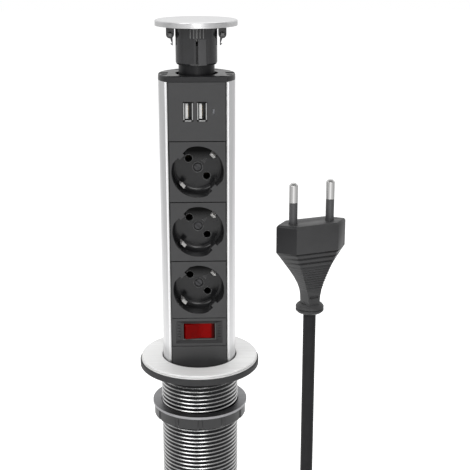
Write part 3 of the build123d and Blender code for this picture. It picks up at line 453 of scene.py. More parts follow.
def neck_paint():
    """Glossy sleeve, with a painted sheen on the sunk band beside its slot and painted highlights
    on its rib crests.
    """
    band_left, band_right, band_top = 0.0012, 0.0074, 0.2527
    crest_radius = 0.01545
    paint = Paint("neck_gloss", (0.022, 0.022, 0.024), 0.0, 0.15)
    # painted sheen: the band beside the slot is painted paler, on the front only
    front = paint.math("LESS_THAN", paint.axis("Y"), 0.0)
    band = paint.math("MULTIPLY", paint.between("X", band_left, band_right),
                      paint.math("LESS_THAN", paint.axis("Z"), band_top))
    band = paint.math("MULTIPLY", band, front)
    # painted highlight: the crests of the ribs are painted pale
    radius = paint.add("ShaderNodeVectorMath", operation="LENGTH")
    paint.join(paint.mapped((1, 1, 0)), radius.inputs[0])
    crest = paint.math("GREATER_THAN", radius.outputs["Value"], crest_radius)
    cloud = paint.noise(CLOUD, detail=4)
    body = paint.mix(paint.ranged(cloud, 0, 1), (0.018, 0.018, 0.019), (0.022, 0.022, 0.024))
    body = paint.mix(band, body, (0.055, 0.055, 0.057))
    paint.colour(paint.mix(crest, body, (0.13, 0.13, 0.13)))
    paint.rough(paint.ranged(cloud, 0.12, 0.18))
    paint.bump(paint.noise(SPARK, detail=2), 0.03, 0.00004, 0.00025)
    return paint.mat


PORT_X = (-0.0064, 0.0036)


def port_paint():
    """Plated port, painted near black as shade, with painted highlights on its front lip at the
    sides and the foot.
    """
    side_in, side_out, side_low, side_high = 0.0027, 0.0035, 0.1958, 0.2080
    foot_out, foot_low, foot_high = 0.0023, 0.1900, 0.1957
    paint = Paint("port_plated", (0.02, 0.02, 0.02), 1.0, 0.25)
    near = [paint.math("ABSOLUTE", paint.math("SUBTRACT", paint.axis("X"), x))
            for x in PORT_X]
    off = paint.math("MINIMUM", *near)
    # painted highlights on the front lip at the sides and the foot; the rest is painted near black
    # as shade
    sides = paint.math("MULTIPLY", paint.math("GREATER_THAN", off, side_in),
                       paint.math("LESS_THAN", off, side_out))
    sides = paint.math("MULTIPLY", sides, paint.between("Z", side_low, side_high))
    foot = paint.math("MULTIPLY", paint.math("LESS_THAN", off, foot_out),
                      paint.between("Z", foot_low, foot_high))
    face = paint.math("LESS_THAN", paint.axis("Y"), PLATE_FRONT)
    painted_glint = paint.math("MULTIPLY", paint.math("MAXIMUM", sides, foot), face)
    grain = paint.noise(2900, (1, 1, 0.02), 2)
    paint.colour(paint.mix(painted_glint, (0.010, 0.010, 0.010), (0.27, 0.27, 0.27)))
    paint.rough(paint.ranged(grain, 0.2, 0.3))
    paint.bump(grain, 0.25, 0.00002, 0.0001)
    return paint.mat


def tongue_paint():
    """The ports' inner tongues: white at their front ends, darkened further in by painted shade.
    """
    white_to, shaded_from = -0.0150, -0.0148
    paint = Paint("tongue_plastic", (0.8, 0.8, 0.79), 0.0, 0.4)
    # painted shade: the tongue darkens further into the port
    end = paint.ranged(paint.axis("Y"), 1, 0, white_to, shaded_from)
    paint.colour(paint.mix(end, (0.03, 0.03, 0.03), (0.85, 0.85, 0.84)))
    cloud = paint.noise(300, detail=3)
    paint.rough(paint.ranged(cloud, 0.35, 0.5))
    paint.bump(cloud, 0.05, 0.00004, 0.0001)
    return paint.mat


SWITCH_HOLE_W = 0.0240
SWITCH_HOLE_H = 0.0125


def switch_paint():
    """The switch's plate: a painted highlight on the lip round the rocker, painted shade on the
    slopes below and to the right.
    """
    lip_highlight_width, shade_below_z, shade_right_of_x = 0.0006, 0.0253, 0.0127
    # the base is paler than the plates at the top of the tower: painted light, as on the lower
    # panel
    paint = Paint("switch_plate", (0.031, 0.031, 0.032), 0.0, 0.49)
    beside = paint.math("SUBTRACT", paint.math("ABSOLUTE", paint.axis("X")), SWITCH_HOLE_W / 2)
    height = paint.math("SUBTRACT", paint.axis("Z"), middle("rocker").z)
    above = paint.math("SUBTRACT", paint.math("ABSOLUTE", height), SWITCH_HOLE_H / 2)
    off = paint.math("MAXIMUM", beside, above)
    # painted highlight on the lip round the rocker
    lip = paint.math("MULTIPLY", paint.math("GREATER_THAN", off, 0.0),
                     paint.math("LESS_THAN", off, lip_highlight_width))
    # painted shade on the sunk slopes below and to the right
    sunk = paint.math("GREATER_THAN", paint.axis("Y"), PLATE_Y)
    low = paint.math("LESS_THAN", paint.axis("Z"), shade_below_z)
    low = paint.math("MULTIPLY", low, sunk)
    right = paint.math("GREATER_THAN", paint.axis("X"), shade_right_of_x)
    right = paint.math("MULTIPLY", right, sunk)
    cloud = paint.noise(CLOUD, detail=4)
    body = paint.mix(paint.ranged(cloud, 0, 1), (0.0285, 0.0285, 0.0294), (0.031, 0.031, 0.032))
    body = paint.mix(right, body, (0.016, 0.016, 0.017))
    body = paint.mix(low, body, (0.008, 0.008, 0.009))
    paint.colour(paint.mix(lip, body, (0.075, 0.075, 0.073)))
    paint.rough(paint.ranged(cloud, 0.44, 0.54))
    paint.bump(paint.noise(SPARK, detail=2), 0.12, 0.00004, 0.00025)
    return paint.mat


shell_metal = shell_paint()
ring_metal = brushed("ring_metal", (0.80, 0.80, 0.795), 0, 0.50, 0.60, metallic=0.2)
lid_metal = brushed("lid_metal", (0.64, 0.64, 0.645), 0, 0.30, 0.42)
zinc = brushed("zinc", (0.30, 0.30, 0.31), 0, 0.35, 0.5, grain=0.5)
bright_steel = brushed("bright_steel", (0.72, 0.72, 0.71), 2, 0.16, 0.28, grain=0.7)
clip_metal = brushed("clip_metal", (0.95, 0.94, 0.92), 1, 0.35, 0.5, grain=0.8, metallic=0.55)
port_steel = port_paint()
# brass painted near black: painted shade at the bottoms of the pin holes
shaded_brass = brushed("shaded_brass", (0.004, 0.004, 0.004), 1, 0.4, 0.5, grain=0.8)
brass = brushed("brass", (0.75, 0.52, 0.22), 1, 0.2, 0.32, grain=0.8)
dull_brass = brushed("dull_brass", (0.010, 0.008, 0.005), 1, 0.4, 0.5, grain=0.8)
latch_steel = brushed("latch_steel", (0.10, 0.10, 0.10), 2, 0.25, 0.35, grain=0.8)
tongue_white = tongue_paint()
nickel = brushed("nickel", (0.56, 0.555, 0.55), 2, 0.06, 0.12, grain=0.5)
black_screw = brushed("black_screw", (0.05, 0.05, 0.052), 0, 0.3, 0.4)
face_plastic = plastic("face_plastic", SATIN, 0.44, 0.54, shade=0.92)
low_plastic_painted_light = plastic("low_plastic_painted_light", LOW_SATIN_PAINTED_LIGHT, 0.44, 0.54, shade=0.92)
socket_plastic = socket_paint()
cap_plastic = cap_paint()
neck_gloss = neck_paint()
neck_plastic = plastic("neck_plastic", (0.022, 0.022, 0.024), 0.12, 0.18, bump=0.03)
core_plastic = plastic("core_plastic", (0.006, 0.006, 0.007), 0.25, 0.35, bump=0.03,
                       Specular_IOR_Level=0.25)
switch_plate = switch_paint()
dark_plastic = plastic("dark_plastic", (0.014, 0.014, 0.015), 0.30, 0.42)
thread_plastic = plastic("thread_plastic", (0.004, 0.004, 0.005), 0.25, 0.35, bump=0.04,
                         Specular_IOR_Level=0.12)
# pale metal for the thread's upward flanks: painted highlights on black plastic
thread_highlight = brushed("thread_highlight", (0.60, 0.60, 0.60), 2, 0.25, 0.35)
gasket_plastic = plastic("gasket_plastic", (0.045, 0.045, 0.046), 0.50, 0.60, bump=0.05,
                         Specular_IOR_Level=0.15)
cream_plastic = plastic("cream_plastic", (0.72, 0.68, 0.58), 0.4, 0.5)
cord_rubber = plastic("cord_rubber", (0.022, 0.022, 0.023), 0.34, 0.42, bump=0.04,
                      Specular_IOR_Level=0.04)
plug_rubber = plastic("plug_rubber", (0.036, 0.036, 0.037), 0.40, 0.48, shade=0.88,
                      Specular_IOR_Level=0.25)
# shaded and lit copies of the plug's rubber: painted shade and painted light on its facets
plug_side_shade = plastic("plug_side_shade", (0.016, 0.016, 0.017), 0.30, 0.38, shade=0.88,
                    Specular_IOR_Level=0.20)
plug_flank_light = plastic("plug_flank_light", (0.052, 0.052, 0.053), 0.36, 0.44, shade=0.88,
                     Specular_IOR_Level=0.25)
sleeve_rubber = plastic("sleeve_rubber", (0.045, 0.045, 0.047), 0.32, 0.42)


def rocker_paint():
    """Red rocker with painted light right of its middle, painted shade at its right end and a
    faint painted glow for its lamp.
    """
    lit_from, lit_to, shaded_end_from, shaded_end_to = -0.002, 0.004, 0.0085, 0.0100
    paint = Paint("rocker_red", (0.30, 0.0, 0.0), 0.0, 0.18, Specular_IOR_Level=0.04)
    cloud = paint.noise(420, detail=3)
    red = paint.mix(paint.ranged(cloud, 0, 1), (0.11, 0.0, 0.0), (0.14, 0.0, 0.0))
    # painted light: the red brightens right of the middle
    lit = paint.ranged(paint.axis("X"), 0, 1, lit_from, lit_to)
    red = paint.mix(lit, red, (0.19, 0.001, 0.001))
    # painted shade: the right end darkens
    edge = paint.ranged(paint.axis("X"), 0, 1, shaded_end_from, shaded_end_to)
    paint.colour(paint.mix(edge, red, (0.012, 0.0, 0.0)))
    paint.rough(paint.ranged(cloud, 0.14, 0.22))
    # a faint even glow stands in for the lamp behind the rocker: painted light
    paint.shader.inputs["Emission Color"].default_value = (0.5, 0.0, 0.0, 1)
    paint.shader.inputs["Emission Strength"].default_value = 0.05
    paint.bump(paint.noise(2600), 0.05, 0.00004, 0.0004)
    return paint.mat


def light_pipe():
    """Clear pipe of the charger's lamp."""
    paint = Paint("light_pipe", (0.25, 0.26, 0.28), 0.0, 0.3, Transmission_Weight=0.5)
    paint.bump(paint.noise(2600), 0.1, 0.00003, 0.0002)
    paint.rough(paint.ranged(paint.noise(800), 0.25, 0.4))
    return paint.mat


def felt_paint():
    """Felt and woven strap, with loose fibres."""
    paint = Paint("felt", (0.05, 0.05, 0.05), 0.0, 0.95, Sheen_Weight=0.4)
    fibre = paint.noise(2600, detail=6, rough=0.8)
    paint.colour(paint.mix(fibre, (0.025, 0.025, 0.026), (0.09, 0.09, 0.088)))
    paint.rough(paint.ranged(fibre, 0.85, 1.0))
    paint.bump(fibre, 0.8, 0.0002)
    return paint.mat


def board_paint():
    """Green circuit board with its tracks under the lacquer."""
    paint = Paint("board", (0.02, 0.12, 0.05), 0.0, 0.3)
    tracks = paint.add("ShaderNodeTexBrick")
    tracks.inputs["Scale"].default_value = 260
    tracks.inputs["Mortar Size"].default_value = 0.03
    paint.join(paint.mapped((1, 1, 1), (math.radians(90), 0, 0)), tracks.inputs["Vector"])
    paint.colour(paint.mix(tracks.outputs["Fac"], (0.015, 0.1, 0.04), (0.03, 0.2, 0.08)))
    paint.rough(paint.ranged(paint.noise(500), 0.25, 0.4))
    paint.bump(tracks.outputs["Fac"], 0.3, 0.00003, 0.0002)
    return paint.mat


def lamp_paint():
    """Glass of the lamp behind the rocker."""
    paint = Paint("lamp_glass", (0.95, 0.85, 0.75), 0.0, 0.05, Transmission_Weight=0.9)
    paint.rough(paint.ranged(paint.noise(900), 0.03, 0.1))
    paint.bump(paint.noise(1200), 0.05, 0.00003)
    return paint.mat


def tape_paint():
    """Yellow tape round the transformer's winding."""
    paint = Paint("winding_tape", (0.55, 0.42, 0.06), 0.0, 0.4)
    wave = paint.add("ShaderNodeTexWave", wave_type="BANDS", bands_direction="Z")
    wave.inputs["Scale"].default_value = 420
    wave.inputs["Distortion"].default_value = 1.5
    paint.join(paint.mapped((1, 1, 1)), wave.inputs["Vector"])
    paint.colour(paint.mix(wave.outputs["Fac"], (0.42, 0.30, 0.03), (0.65, 0.50, 0.09)))
    paint.rough(paint.ranged(wave.outputs["Fac"], 0.3, 0.5, 0, 1))
    paint.bump(wave.outputs["Fac"], 0.3, 0.0001, 0.0004)
    return paint.mat


# paler than the socket's black plastic: a painted highlight on the recesses' rims and bars
rim_highlight_plastic = plastic("rim_highlight_plastic", (0.085, 0.085, 0.087), 0.10, 0.16, bump=0.02)
rocker_red = rocker_paint()
pipe_clear = light_pipe()
felt = felt_paint()
board_green = board_paint()
lamp_glass = lamp_paint()
winding_tape = tape_paint()

FINISH = {
    "tower_shell": shell_metal, "collar_ring": ring_metal, "lid_disc": lid_metal,
    "usb_panel": face_plastic, "switch_panel": switch_plate, "lower_panel": low_plastic_painted_light,
    "socket_upper": socket_plastic, "socket_middle": socket_plastic,
    "socket_lower": socket_plastic, "top_cap": cap_plastic, "neck": neck_gloss,
    "neck_core": core_plastic, "lid_base": dark_plastic, "latch_bracket_left": neck_plastic,
    "latch_bracket_right": neck_plastic, "switch_housing": dark_plastic,
    "tower_base": dark_plastic, "cord_gland": dark_plastic, "gland_nut": dark_plastic,
    "guide_insert": dark_plastic, "clamp_nut": dark_plastic, "collar_gasket": gasket_plastic,
    "usb_tongues": tongue_white, "terminal_block": cream_plastic, "rocker": rocker_red,
    "usb_indicator": pipe_clear, "brake_pads": felt, "usb_board": board_green,
    "usb_transformer": winding_tape, "switch_lamp": lamp_glass,
    "contact_sleeves": shaded_brass, "bus_bar_live": dull_brass, "bus_bar_neutral": dull_brass,
    "earth_bus": brass, "usb_contacts": brass, "plug_pins": nickel,
    "plug_sleeves": sleeve_rubber, "inner_wires": cord_rubber,
    "cap_screws": black_screw, "base_screws": bright_steel, "lid_screws": bright_steel,
    "socket_screws": black_screw, "earth_clip_upper": clip_metal,
    "earth_clip_middle": clip_metal, "earth_clip_lower": clip_metal,
    "clamp_washer": zinc, "lid_spring": bright_steel, "latch_springs": latch_steel,
    "latch_pins": latch_steel, "latch_hook_left": black_screw,
    "latch_hook_right": black_screw, "usb_shells": port_steel,
    "switch_blades": brass, "terminal_screws": bright_steel,
}


def dress(obj, mat):
    obj.data.materials.clear()
    obj.data.materials.append(mat)


for node_name, mat in FINISH.items():
    dress(nodes[node_name], mat)
dress(cord, cord_rubber)


# Sleeve under the desk, with its thread

THREAD_CREST = 0.030
THREAD_ROOT = 0.02945
THREAD_PITCH = 0.00325
BORE = 0.0285
SLEEVE_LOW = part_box("mounting_sleeve")[0].z
FLANGE_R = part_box("mounting_sleeve")[1].x
FLANGE_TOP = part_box("mounting_sleeve")[1].z
FLANGE_THICK = 0.0020
EDGE = 0.0004
PADS_LOW, PADS_HIGH = -0.0200, -0.0040
PADS_R = THREAD_ROOT - 0.0001
THREAD_LOW, THREAD_HIGH = -0.0935, 0.0005


def sleeve_body():
    """The tube at the thread's root, with its flange and a groove for the brake pads."""
    bm = bmesh.new()
    under = FLANGE_TOP - FLANGE_THICK
    lathe(bm, [
        (BORE, SLEEVE_LOW), (THREAD_ROOT - 0.0006, SLEEVE_LOW), (THREAD_ROOT, SLEEVE_LOW + 0.0006),
        (THREAD_ROOT, under - EDGE), (THREAD_CREST, under), (FLANGE_R - EDGE, under),
        (FLANGE_R, under + EDGE), (FLANGE_R, FLANGE_TOP), (BORE, FLANGE_TOP), (BORE, PADS_HIGH),
        (PADS_R, PADS_HIGH), (PADS_R, PADS_LOW), (BORE, PADS_LOW),
    ], 128)
    return mesh_piece("sleeve_body", bm)


def sleeve_thread():
    """A helical ridge with a flat crest, which runs out to nothing at both ends."""
    bm = bmesh.new()
    steps = 96
    run_out = steps * 0.4
    count = int((THREAD_HIGH - THREAD_LOW) / THREAD_PITCH * steps)
    section = [(-0.34, -0.15), (-0.20, 0.0), (-0.05, 1.0), (0.04, 1.0), (0.24, 0.0),
               (0.34, -0.15)]  # heights in pitches, and shares of the ridge's rise
    rows = []
    for i in range(count + 1):
        a = 2 * math.pi * i / steps
        z = THREAD_LOW + THREAD_PITCH * i / steps
        grow = min(1.0, i / run_out, (count - i) / run_out)
        grow = grow * grow * (3 - 2 * grow)
        row = []
        for dz, rise in section:
            r = THREAD_ROOT + (THREAD_CREST - THREAD_ROOT) * rise * (grow if rise > 0 else 1)
            row.append(bm.verts.new((r * math.cos(a), r * math.sin(a), z + dz * THREAD_PITCH)))
        rows.append(row)
    for a, b in zip(rows, rows[1:]):
        for k in range(len(section)):
            n = (k + 1) % len(section)
            bm.faces.new((a[k], b[k], b[n], a[n]))
    bm.faces.new(rows[0])
    bm.faces.new(rows[-1])
    return mesh_piece("sleeve_thread", bm)


def paint_flank_highlights(thread):
    """Gives the ridge's upper flanks a pale metal colour, as painted highlights."""
    thread.data.materials.append(thread_highlight)
    for face in thread.data.polygons:
        face.material_index = 1 if face.normal.z > 0.4 else 0


body = sleeve_body()
thread = sleeve_thread()
for piece in (body, thread):
    dress(piece, thread_plastic)
    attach(piece, "desk_frame")
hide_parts("mounting_sleeve")
paint_flank_highlights(thread)


# Plug

PLUG_TURN = Matrix.Translation(PLUG) @ Matrix.Rotation(math.radians(20), 4, "Z")
PLUG_W = 0.01765  # half its width
PLUG_T = 0.00685  # half its thickness
PLUG_F = 0.0105  # half the width of its front face
TAIL_W = 0.0046
TAIL_F = 0.0028
GRIP_LOW = -0.0130
PIN_X = 0.0093
PIN_HOLE_R = 0.00205
PIN_HOLE_DEPTH = 0.0051
SLOT = ((-0.0022, -0.0090, -0.0361), (0.0022, -0.0038, -0.0347))
LEDGES, LEDGE_PITCH = 3, 2.3  # the depths below the grip are in millimetres
RIBS, RIB_PITCH = 10, 1.15
TAPER = [(0.0, 1.0), (2.4, 0.855), (6.0, 0.655), (9.5, 0.46), (13.0, 0.285), (16.0, 0.16),
         (19.5, 0.06), (22.5, 0.012), (26.5, 0.0)]


def taper_at(depth):
    """The share of the width that is left below the grip, from the photographed outline."""
    for (d0, s0), (d1, s1) in zip(TAPER, TAPER[1:]):
        if depth <= d1:
            t = (depth - d0) / (d1 - d0)
            return s0 + (s1 - s0) * t
    return 0.0


def plug_ring(bm, z, w, t, f):
    """One six-cornered section of the plug."""
    return [bm.verts.new((x, y, z)) for x, y in (
        (-w, 0), (-f, -t), (f, -t), (w, 0), (f, t), (-f, t))]


def plug_grip():
    """Six-sided grip, then a concave tail with ledges and fine ribs on its two broad sides."""
    bm = bmesh.new()
    rings = [plug_ring(bm, 0, PLUG_W - 0.0008, PLUG_T - 0.0007, PLUG_F - 0.0003),
             plug_ring(bm, -0.0009, PLUG_W, PLUG_T, PLUG_F),
             plug_ring(bm, GRIP_LOW, PLUG_W, PLUG_T, PLUG_F)]
    rows = [(0.25, -0.9)]
    depth = 0.6
    for _ in range(LEDGES):
        rows += [(depth, -0.9), (depth + 0.25, 0.0), (depth + 1.55, 0.0), (depth + 1.75, -0.8)]
        depth += LEDGE_PITCH
    rows.append((depth, -0.45))
    for _ in range(RIBS):
        rows += [(depth + 0.15, -0.45), (depth + 0.35, -0.1), (depth + 0.75, -0.1),
                 (depth + 0.95, -0.45)]
        depth += RIB_PITCH
    rows += [(19.8, -0.1), (22.0, 0.0), (26.5, 0.0)]
    for depth, proud in rows:
        share = taper_at(depth)
        w = TAIL_W + (PLUG_W - TAIL_W) * share
        f = TAIL_F + (PLUG_F - TAIL_F) * share ** 0.8
        t = TAIL_W + (PLUG_T - TAIL_W) * max(0.0, 1 - depth / 22) ** 1.2
        rings.append(plug_ring(bm, GRIP_LOW - depth * MM, w, t + proud * MM, f))
    for a, b in zip(rings, rings[1:]):
        for k in range(6):
            n = (k + 1) % 6
            bm.faces.new((a[k], a[n], b[n], b[k]))
    bm.faces.new(rings[0])
    bm.faces.new(rings[-1])
    obj = mesh_piece("plug_grip", bm)
    cutters = []
    for side in (1, -1):
        cut = bmesh.new()
        bmesh.ops.create_cone(cut, cap_ends=True, segments=32,
                              radius1=PIN_HOLE_R, radius2=PIN_HOLE_R, depth=PIN_HOLE_DEPTH * 2,
                              matrix=Matrix.Translation((side * PIN_X, 0, 0)))
        cutters.append(mesh_piece("pin_hole", cut, False))
    slot = bmesh.new()
    box_mesh(slot, *SLOT)
    cutters.append(mesh_piece("slot", slot, False))
    carve(obj, cutters)
    soften(obj, 24)
    obj.data.transform(PLUG_TURN)
    return obj


def plug_flange():
    """The grooved ring at the end of the plug's tail."""
    bm = bmesh.new()
    lathe(bm, [
        (0.0030, -0.0392), (0.0048, -0.0392), (0.0060, -0.0401), (0.0066, -0.0409),
        (0.0066, -0.0415), (0.0061, -0.0418), (0.0066, -0.0421), (0.0066, -0.0429),
        (0.0058, -0.0437), (0.0042, -0.0439), (0.0030, -0.0439),
    ], 48, True, PLUG_TURN)
    return mesh_piece("plug_flange", bm)


def shade_plug_facets(obj):
    """Painted shade on the grip's slanted sides and the tail's right flank, and painted light on
    its left one.
    """
    least_slant, steepest = 0.35, 0.6
    obj.data.materials.append(plug_side_shade)
    obj.data.materials.append(plug_flank_light)
    back = PLUG_TURN.inverted()
    for face in obj.data.polygons:
        normal = back.to_3x3() @ face.normal
        if abs(normal.x) < least_slant or abs(normal.z) > steepest:
            continue
        on_grip = (back @ face.center).z > GRIP_LOW - 0.0001
        face.material_index = 1 if on_grip or normal.x > 0 else 2


grip = plug_grip()
flange = plug_flange()
for piece in (grip, flange):
    dress(piece, plug_rubber)
    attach(piece, "tower")
shade_plug_facets(grip)
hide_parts("plug_body")


# The strap round the put-away turns


def strap():
    """A hook-and-loop strap: a rounded band with its end lapped over on the outer side."""
    bm = bmesh.new()
    wide, low, high = 0.0072, COIL_Z + 0.0275, COIL_Z + 0.0427
    thick = 0.0011
    corner = 0.0028
    widths = (-0.0040, -0.0037, 0.0037, 0.0040)
    insets = (SOFT_EDGE, 0.0, 0.0, SOFT_EDGE)
    lap_left, lap_right, lap_half, lap_thick = 0.0052, 0.0036, 0.0036, 0.0007
    outline = []
    centre_x = COIL_PITCH / 2
    for cx, cz, start in ((1, 1, 0), (-1, 1, 90), (-1, -1, 180), (1, -1, 270)):
        for k in range(7):
            a = math.radians(start + 15 * k)
            outline.append((centre_x + cx * (wide - corner) + corner * math.cos(a),
                            (high if cz > 0 else low) - cz * corner + corner * math.sin(a),
                            math.cos(a), math.sin(a)))
    loops = []
    for x, z, nx, nz in outline:
        section = [(y, thick - inset) for y, inset in zip(widths, insets)]
        section += [(y, inset) for y, inset in zip(reversed(widths), reversed(insets))]
        loops.append([bm.verts.new((x + nx * out, -COIL_R + y, z + nz * out))
                      for y, out in section])
    for i, a in enumerate(loops):
        b = loops[(i + 1) % len(loops)]
        for k in range(len(a)):
            n = (k + 1) % len(a)
            bm.faces.new((a[k], b[k], b[n], a[n]))
    box_mesh(bm, (centre_x - lap_left, -COIL_R - lap_half, high + thick - 0.0001),
             (centre_x + lap_right, -COIL_R + lap_half, high + thick + lap_thick))
    return soften(mesh_piece("cord_strap", bm), 30)


tie = strap()
dress(tie, felt)
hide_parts("cord_tie")
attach(tie, "tower")


# The lid's spring, pressed together between the tower and the lid

SPRING_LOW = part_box("lid_spring")[0].z
SPRING_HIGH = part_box("lid_spring")[1].z
SPRING_WIRE_R = 0.0006
SPRING_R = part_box("lid_spring")[1].x - SPRING_WIRE_R
SPRING_TURNS = 8
CLOSED_RISE = 0.22  # a closed turn's share of an open turn's rise


def lid_spring():
    """A compression spring whose first and last turns are wound close."""
    bm = bmesh.new()
    steps = 32
    sides = 10
    count = SPRING_TURNS * steps
    rises = [0.0]
    for i in range(count):
        turn = min(i, count - 1 - i) / steps
        t = min(1.0, max(0.0, (turn - 0.8) / 0.5))
        rises.append(rises[-1] + CLOSED_RISE + (1 - CLOSED_RISE) * t * t * (3 - 2 * t))
    height = SPRING_HIGH - SPRING_LOW - 2 * SPRING_WIRE_R
    loops = []
    for i, rise in enumerate(rises):
        a = 2 * math.pi * i / steps
        z = SPRING_LOW + SPRING_WIRE_R + height * rise / rises[-1]
        loop = []
        for k in range(sides):
            b = 2 * math.pi * k / sides
            r = SPRING_R + SPRING_WIRE_R * math.cos(b)
            loop.append(bm.verts.new((r * math.cos(a), r * math.sin(a),
                                      z + SPRING_WIRE_R * math.sin(b))))
        loops.append(loop)
    for a, b in zip(loops, loops[1:]):
        for k in range(sides):
            n = (k + 1) % sides
            bm.faces.new((a[k], b[k], b[n], a[n]))
    bm.faces.new(loops[0])
    bm.faces.new(loops[-1])
    return mesh_piece("lid_spring_coil", bm)


spring = lid_spring()
dress(spring, bright_steel)
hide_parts("lid_spring")
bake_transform(spring)


# Screws with cross recesses


def screw(bm, x, y, z, length, up):
    """A countersunk cross-head screw whose head is at z and faces up or down."""
    flip = Matrix.Rotation(math.pi, 4, "X") if up < 0 else Matrix.Identity(4)
    place = Matrix.Translation((x, y, z)) @ flip
    lathe(bm, [(0.0, -0.00018), (0.0019, -0.0001), (0.0021, -0.0002), (0.00215, -0.0004),
               (0.0012, -0.0012), (0.0012, -length + 0.0004), (0.0008, -length), (0.0, -length)],
          32, False, place)


def screw_set(name, places, z, length, up):
    """Screws of one kind as one piece, with a cross cut into each head."""
    bm = bmesh.new()
    for x, y in places:
        screw(bm, x, y, z, length, up)
    obj = mesh_piece(name, bm)
    cutters = []
    for turn in (0.4, 0.4 + math.pi / 2):
        cut = bmesh.new()
        for x, y in places:
            move = Matrix.Translation((x, y, z)) @ Matrix.Rotation(turn, 4, "Z")
            box_mesh(cut, (-0.0012, -0.00024, -0.0008), (0.0012, 0.00024, 0.0008), move)
        cutters.append(mesh_piece("cross", cut, False))
    return carve(obj, cutters)


def ring_places(radius, angles):
    """Places on a circle, at angles in degrees."""
    return [(radius * math.cos(math.radians(a)), radius * math.sin(math.radians(a)))
            for a in angles]


CAP_SCREWS = ring_places(0.0249, (-20, 55, 125, 200))
LID_SCREWS = ring_places(0.0246, (30, 150, 270))

low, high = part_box("cap_screws")
cap_heads = screw_set("cap_screw_set", CAP_SCREWS, high.z, high.z - low.z, 1)
dress(cap_heads, black_screw)
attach(cap_heads, "tower")
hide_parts("cap_screws")

low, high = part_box("lid_screws")
lid_heads = screw_set("lid_screw_set", LID_SCREWS, low.z, high.z - low.z, -1)
dress(lid_heads, bright_steel)
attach(lid_heads, "lid")
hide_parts("lid_screws")


# Moulded rims round the holes and the screw of each socket, and small raised bars

PIN_SPREAD = 0.0190
PIN_OFF = PIN_SPREAD / 2 * math.sqrt(0.5)  # the holes lie on a line at 45 degrees
PIN_RIM = [(0.00262, -0.0002), (0.00262, 0.0001), (0.0030, 0.00042), (0.0032, 0.00042),
           (0.0033, 0.0003), (0.0033, -0.0002)]
SCREW_RIM = [(0.0034, -0.0002), (0.0034, 0.0002), (0.0038, 0.0006), (0.0041, 0.0006),
             (0.0042, 0.0004), (0.0042, -0.0002)]
BARS = (0.0018, 0.0013, 0.0008, 0.0004)  # half their lengths
BAR_START = 0.0060
BAR_PITCH = 0.0011


def recess_details():
    """The rims and bars of all three sockets as one piece."""
    bm = bmesh.new()
    for socket in SOCKETS:
        floor_middle = Matrix.Translation((0, RECESS_FLOOR, middle(socket).z))
        inward = floor_middle @ Matrix.Rotation(math.radians(90), 4, "X")
        for side in (1, -1):
            at = (side * PIN_OFF, -side * PIN_OFF, 0)
            lathe(bm, PIN_RIM, 48, True, inward @ Matrix.Translation(at))
        lathe(bm, SCREW_RIM, 48, True, inward)
        turn = floor_middle @ Matrix.Rotation(math.radians(-45), 4, "Y")
        for k, half in enumerate(BARS):
            move = turn @ Matrix.Translation((BAR_START + BAR_PITCH * k, 0, 0))
            box_mesh(bm, (-0.00022, -0.0005, -half), (0.00022, 0.0002, half), move)
    return mesh_piece("recess_details", bm)


details = recess_details()
dress(details, rim_highlight_plastic)
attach(details, "tower")


# Floor, world and lamps

FLOOR_Z = -0.1950
FLOOR_PALE, FLOOR_DARK = 0.8, 0.46
FLOOR_GLOW = 0.72
FRONT_GLOW = 0.5

floor_bm = bmesh.new()
bmesh.ops.create_grid(floor_bm, x_segments=1, y_segments=1, size=6)
floor = mesh_piece("floor", floor_bm, False)
floor.location = (0, 0, FLOOR_Z)


def clamped(tree, value, low, high):
    return wire(tree, "MINIMUM", wire(tree, "MAXIMUM", value, low), high)


def seen_rays(tree):
    """One for rays from the camera and for those seen in metal or through glass."""
    path = tree.nodes.new("ShaderNodeLightPath")
    either = wire(tree, "MAXIMUM", path.outputs["Is Camera Ray"], path.outputs["Is Glossy Ray"])
    return wire(tree, "MAXIMUM", either, path.outputs["Is Transmission Ray"])


def outside_view(tree, x, y):
    """Zero in the camera's view and in front of it, rising to one at the sides."""
    spread, half_at_origin, least_half, fade = 0.30, 0.23, 0.40, 0.45
    half = wire(tree, "MULTIPLY_ADD", y, spread, half_at_origin)
    half = wire(tree, "MAXIMUM", half, least_half)
    past = wire(tree, "SUBTRACT", wire(tree, "ABSOLUTE", x), half)
    return clamped(tree, wire(tree, "DIVIDE", past, fade), 0.0, 1.0)


floor_mat = bpy.data.materials.new("floor")
floor_mat.use_nodes = True
tree = floor_mat.node_tree
tree.nodes.clear()
out = tree.nodes.new("ShaderNodeOutputMaterial")
where = tree.nodes.new("ShaderNodeTexCoord")
split = tree.nodes.new("ShaderNodeSeparateXYZ")
tree.links.new(where.outputs["Object"], split.inputs[0])
side = outside_view(tree, split.outputs["X"], split.outputs["Y"])
shade = tree.nodes.new("ShaderNodeMix")
shade.data_type = "RGBA"
tree.links.new(side, shade.inputs["Factor"])
shade.inputs[6].default_value = (FLOOR_PALE, FLOOR_PALE, FLOOR_PALE, 1)
shade.inputs[7].default_value = (FLOOR_DARK, FLOOR_DARK, FLOOR_DARK, 1)
diffuse = tree.nodes.new("ShaderNodeBsdfDiffuse")
tree.links.new(shade.outputs[2], diffuse.inputs["Color"])
glow = tree.nodes.new("ShaderNodeEmission")
tree.links.new(shade.outputs[2], glow.inputs["Color"])
before = wire(tree, "MULTIPLY_ADD", split.outputs["Y"], -2.5, -1.9)
before = clamped(tree, before, 0.0, FRONT_GLOW)
level = wire(tree, "MULTIPLY", seen_rays(tree), wire(tree, "ADD", before, FLOOR_GLOW))
tree.links.new(level, glow.inputs["Strength"])
both = tree.nodes.new("ShaderNodeAddShader")
tree.links.new(diffuse.outputs[0], both.inputs[0])
tree.links.new(glow.outputs[0], both.inputs[1])
tree.links.new(both.outputs[0], out.inputs["Surface"])
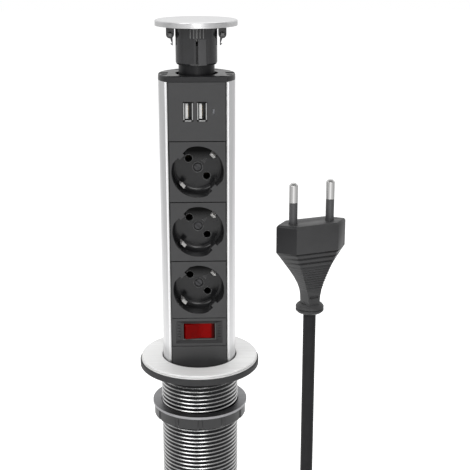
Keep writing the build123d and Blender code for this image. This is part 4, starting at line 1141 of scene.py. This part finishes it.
floor.data.materials.append(floor_mat)

world = bpy.data.worlds.new("studio")
bpy.context.scene.world = world
world.use_nodes = True
tree = world.node_tree
tree.nodes.clear()
out = tree.nodes.new("ShaderNodeOutputWorld")
plain = tree.nodes.new("ShaderNodeBackground")
plain.inputs["Color"].default_value = (1, 1, 1, 1)
studio = tree.nodes.new("ShaderNodeBackground")
where = tree.nodes.new("ShaderNodeTexCoord")
split = tree.nodes.new("ShaderNodeSeparateXYZ")
tree.links.new(where.outputs["Generated"], split.inputs[0])

# What is seen and mirrored is white behind the object and grey in front of it
back = wire(tree, "MULTIPLY_ADD", split.outputs["Y"], 1.6, 0.45)
tree.links.new(clamped(tree, back, 0.42, 1.0), plain.inputs["Strength"])

# What lights the object is stronger from the sides and from above
across = wire(tree, "ABSOLUTE", split.outputs["X"])
upward = wire(tree, "MAXIMUM", split.outputs["Z"], 0.0)
amount = wire(tree, "MULTIPLY_ADD", across, 0.35, 0.35)
amount = wire(tree, "MULTIPLY_ADD", upward, 0.45, amount)
tree.links.new(wire(tree, "MINIMUM", amount, 1.0), studio.inputs["Strength"])
mix = tree.nodes.new("ShaderNodeMixShader")
tree.links.new(seen_rays(tree), mix.inputs[0])
tree.links.new(studio.outputs[0], mix.inputs[1])
tree.links.new(plain.outputs[0], mix.inputs[2])
tree.links.new(mix.outputs[0], out.inputs["Surface"])


def lamp(name, place, target, size, power):
    """A soft rectangular lamp that points at a target."""
    data = bpy.data.lights.new(name, "AREA")
    data.shape = "RECTANGLE"
    data.size, data.size_y = size
    data.energy = power
    obj = link(name, data)
    obj.location = place
    obj.rotation_euler = (Vector(target) - Vector(place)).to_track_quat("-Z", "Y").to_euler()


lamp("key", (-0.75, -0.85, 0.95), (0, 0, 0.12), (0.7, 0.7), 6)
lamp("front", (0.12, -1.25, 0.60), (0, 0, 0.05), (0.35, 0.7), 6)
lamp("top", (0.1, 0.25, 1.25), (0, 0, 0.1), (0.9, 0.9), 5)

bpy.context.scene.view_settings.view_transform = "Standard"
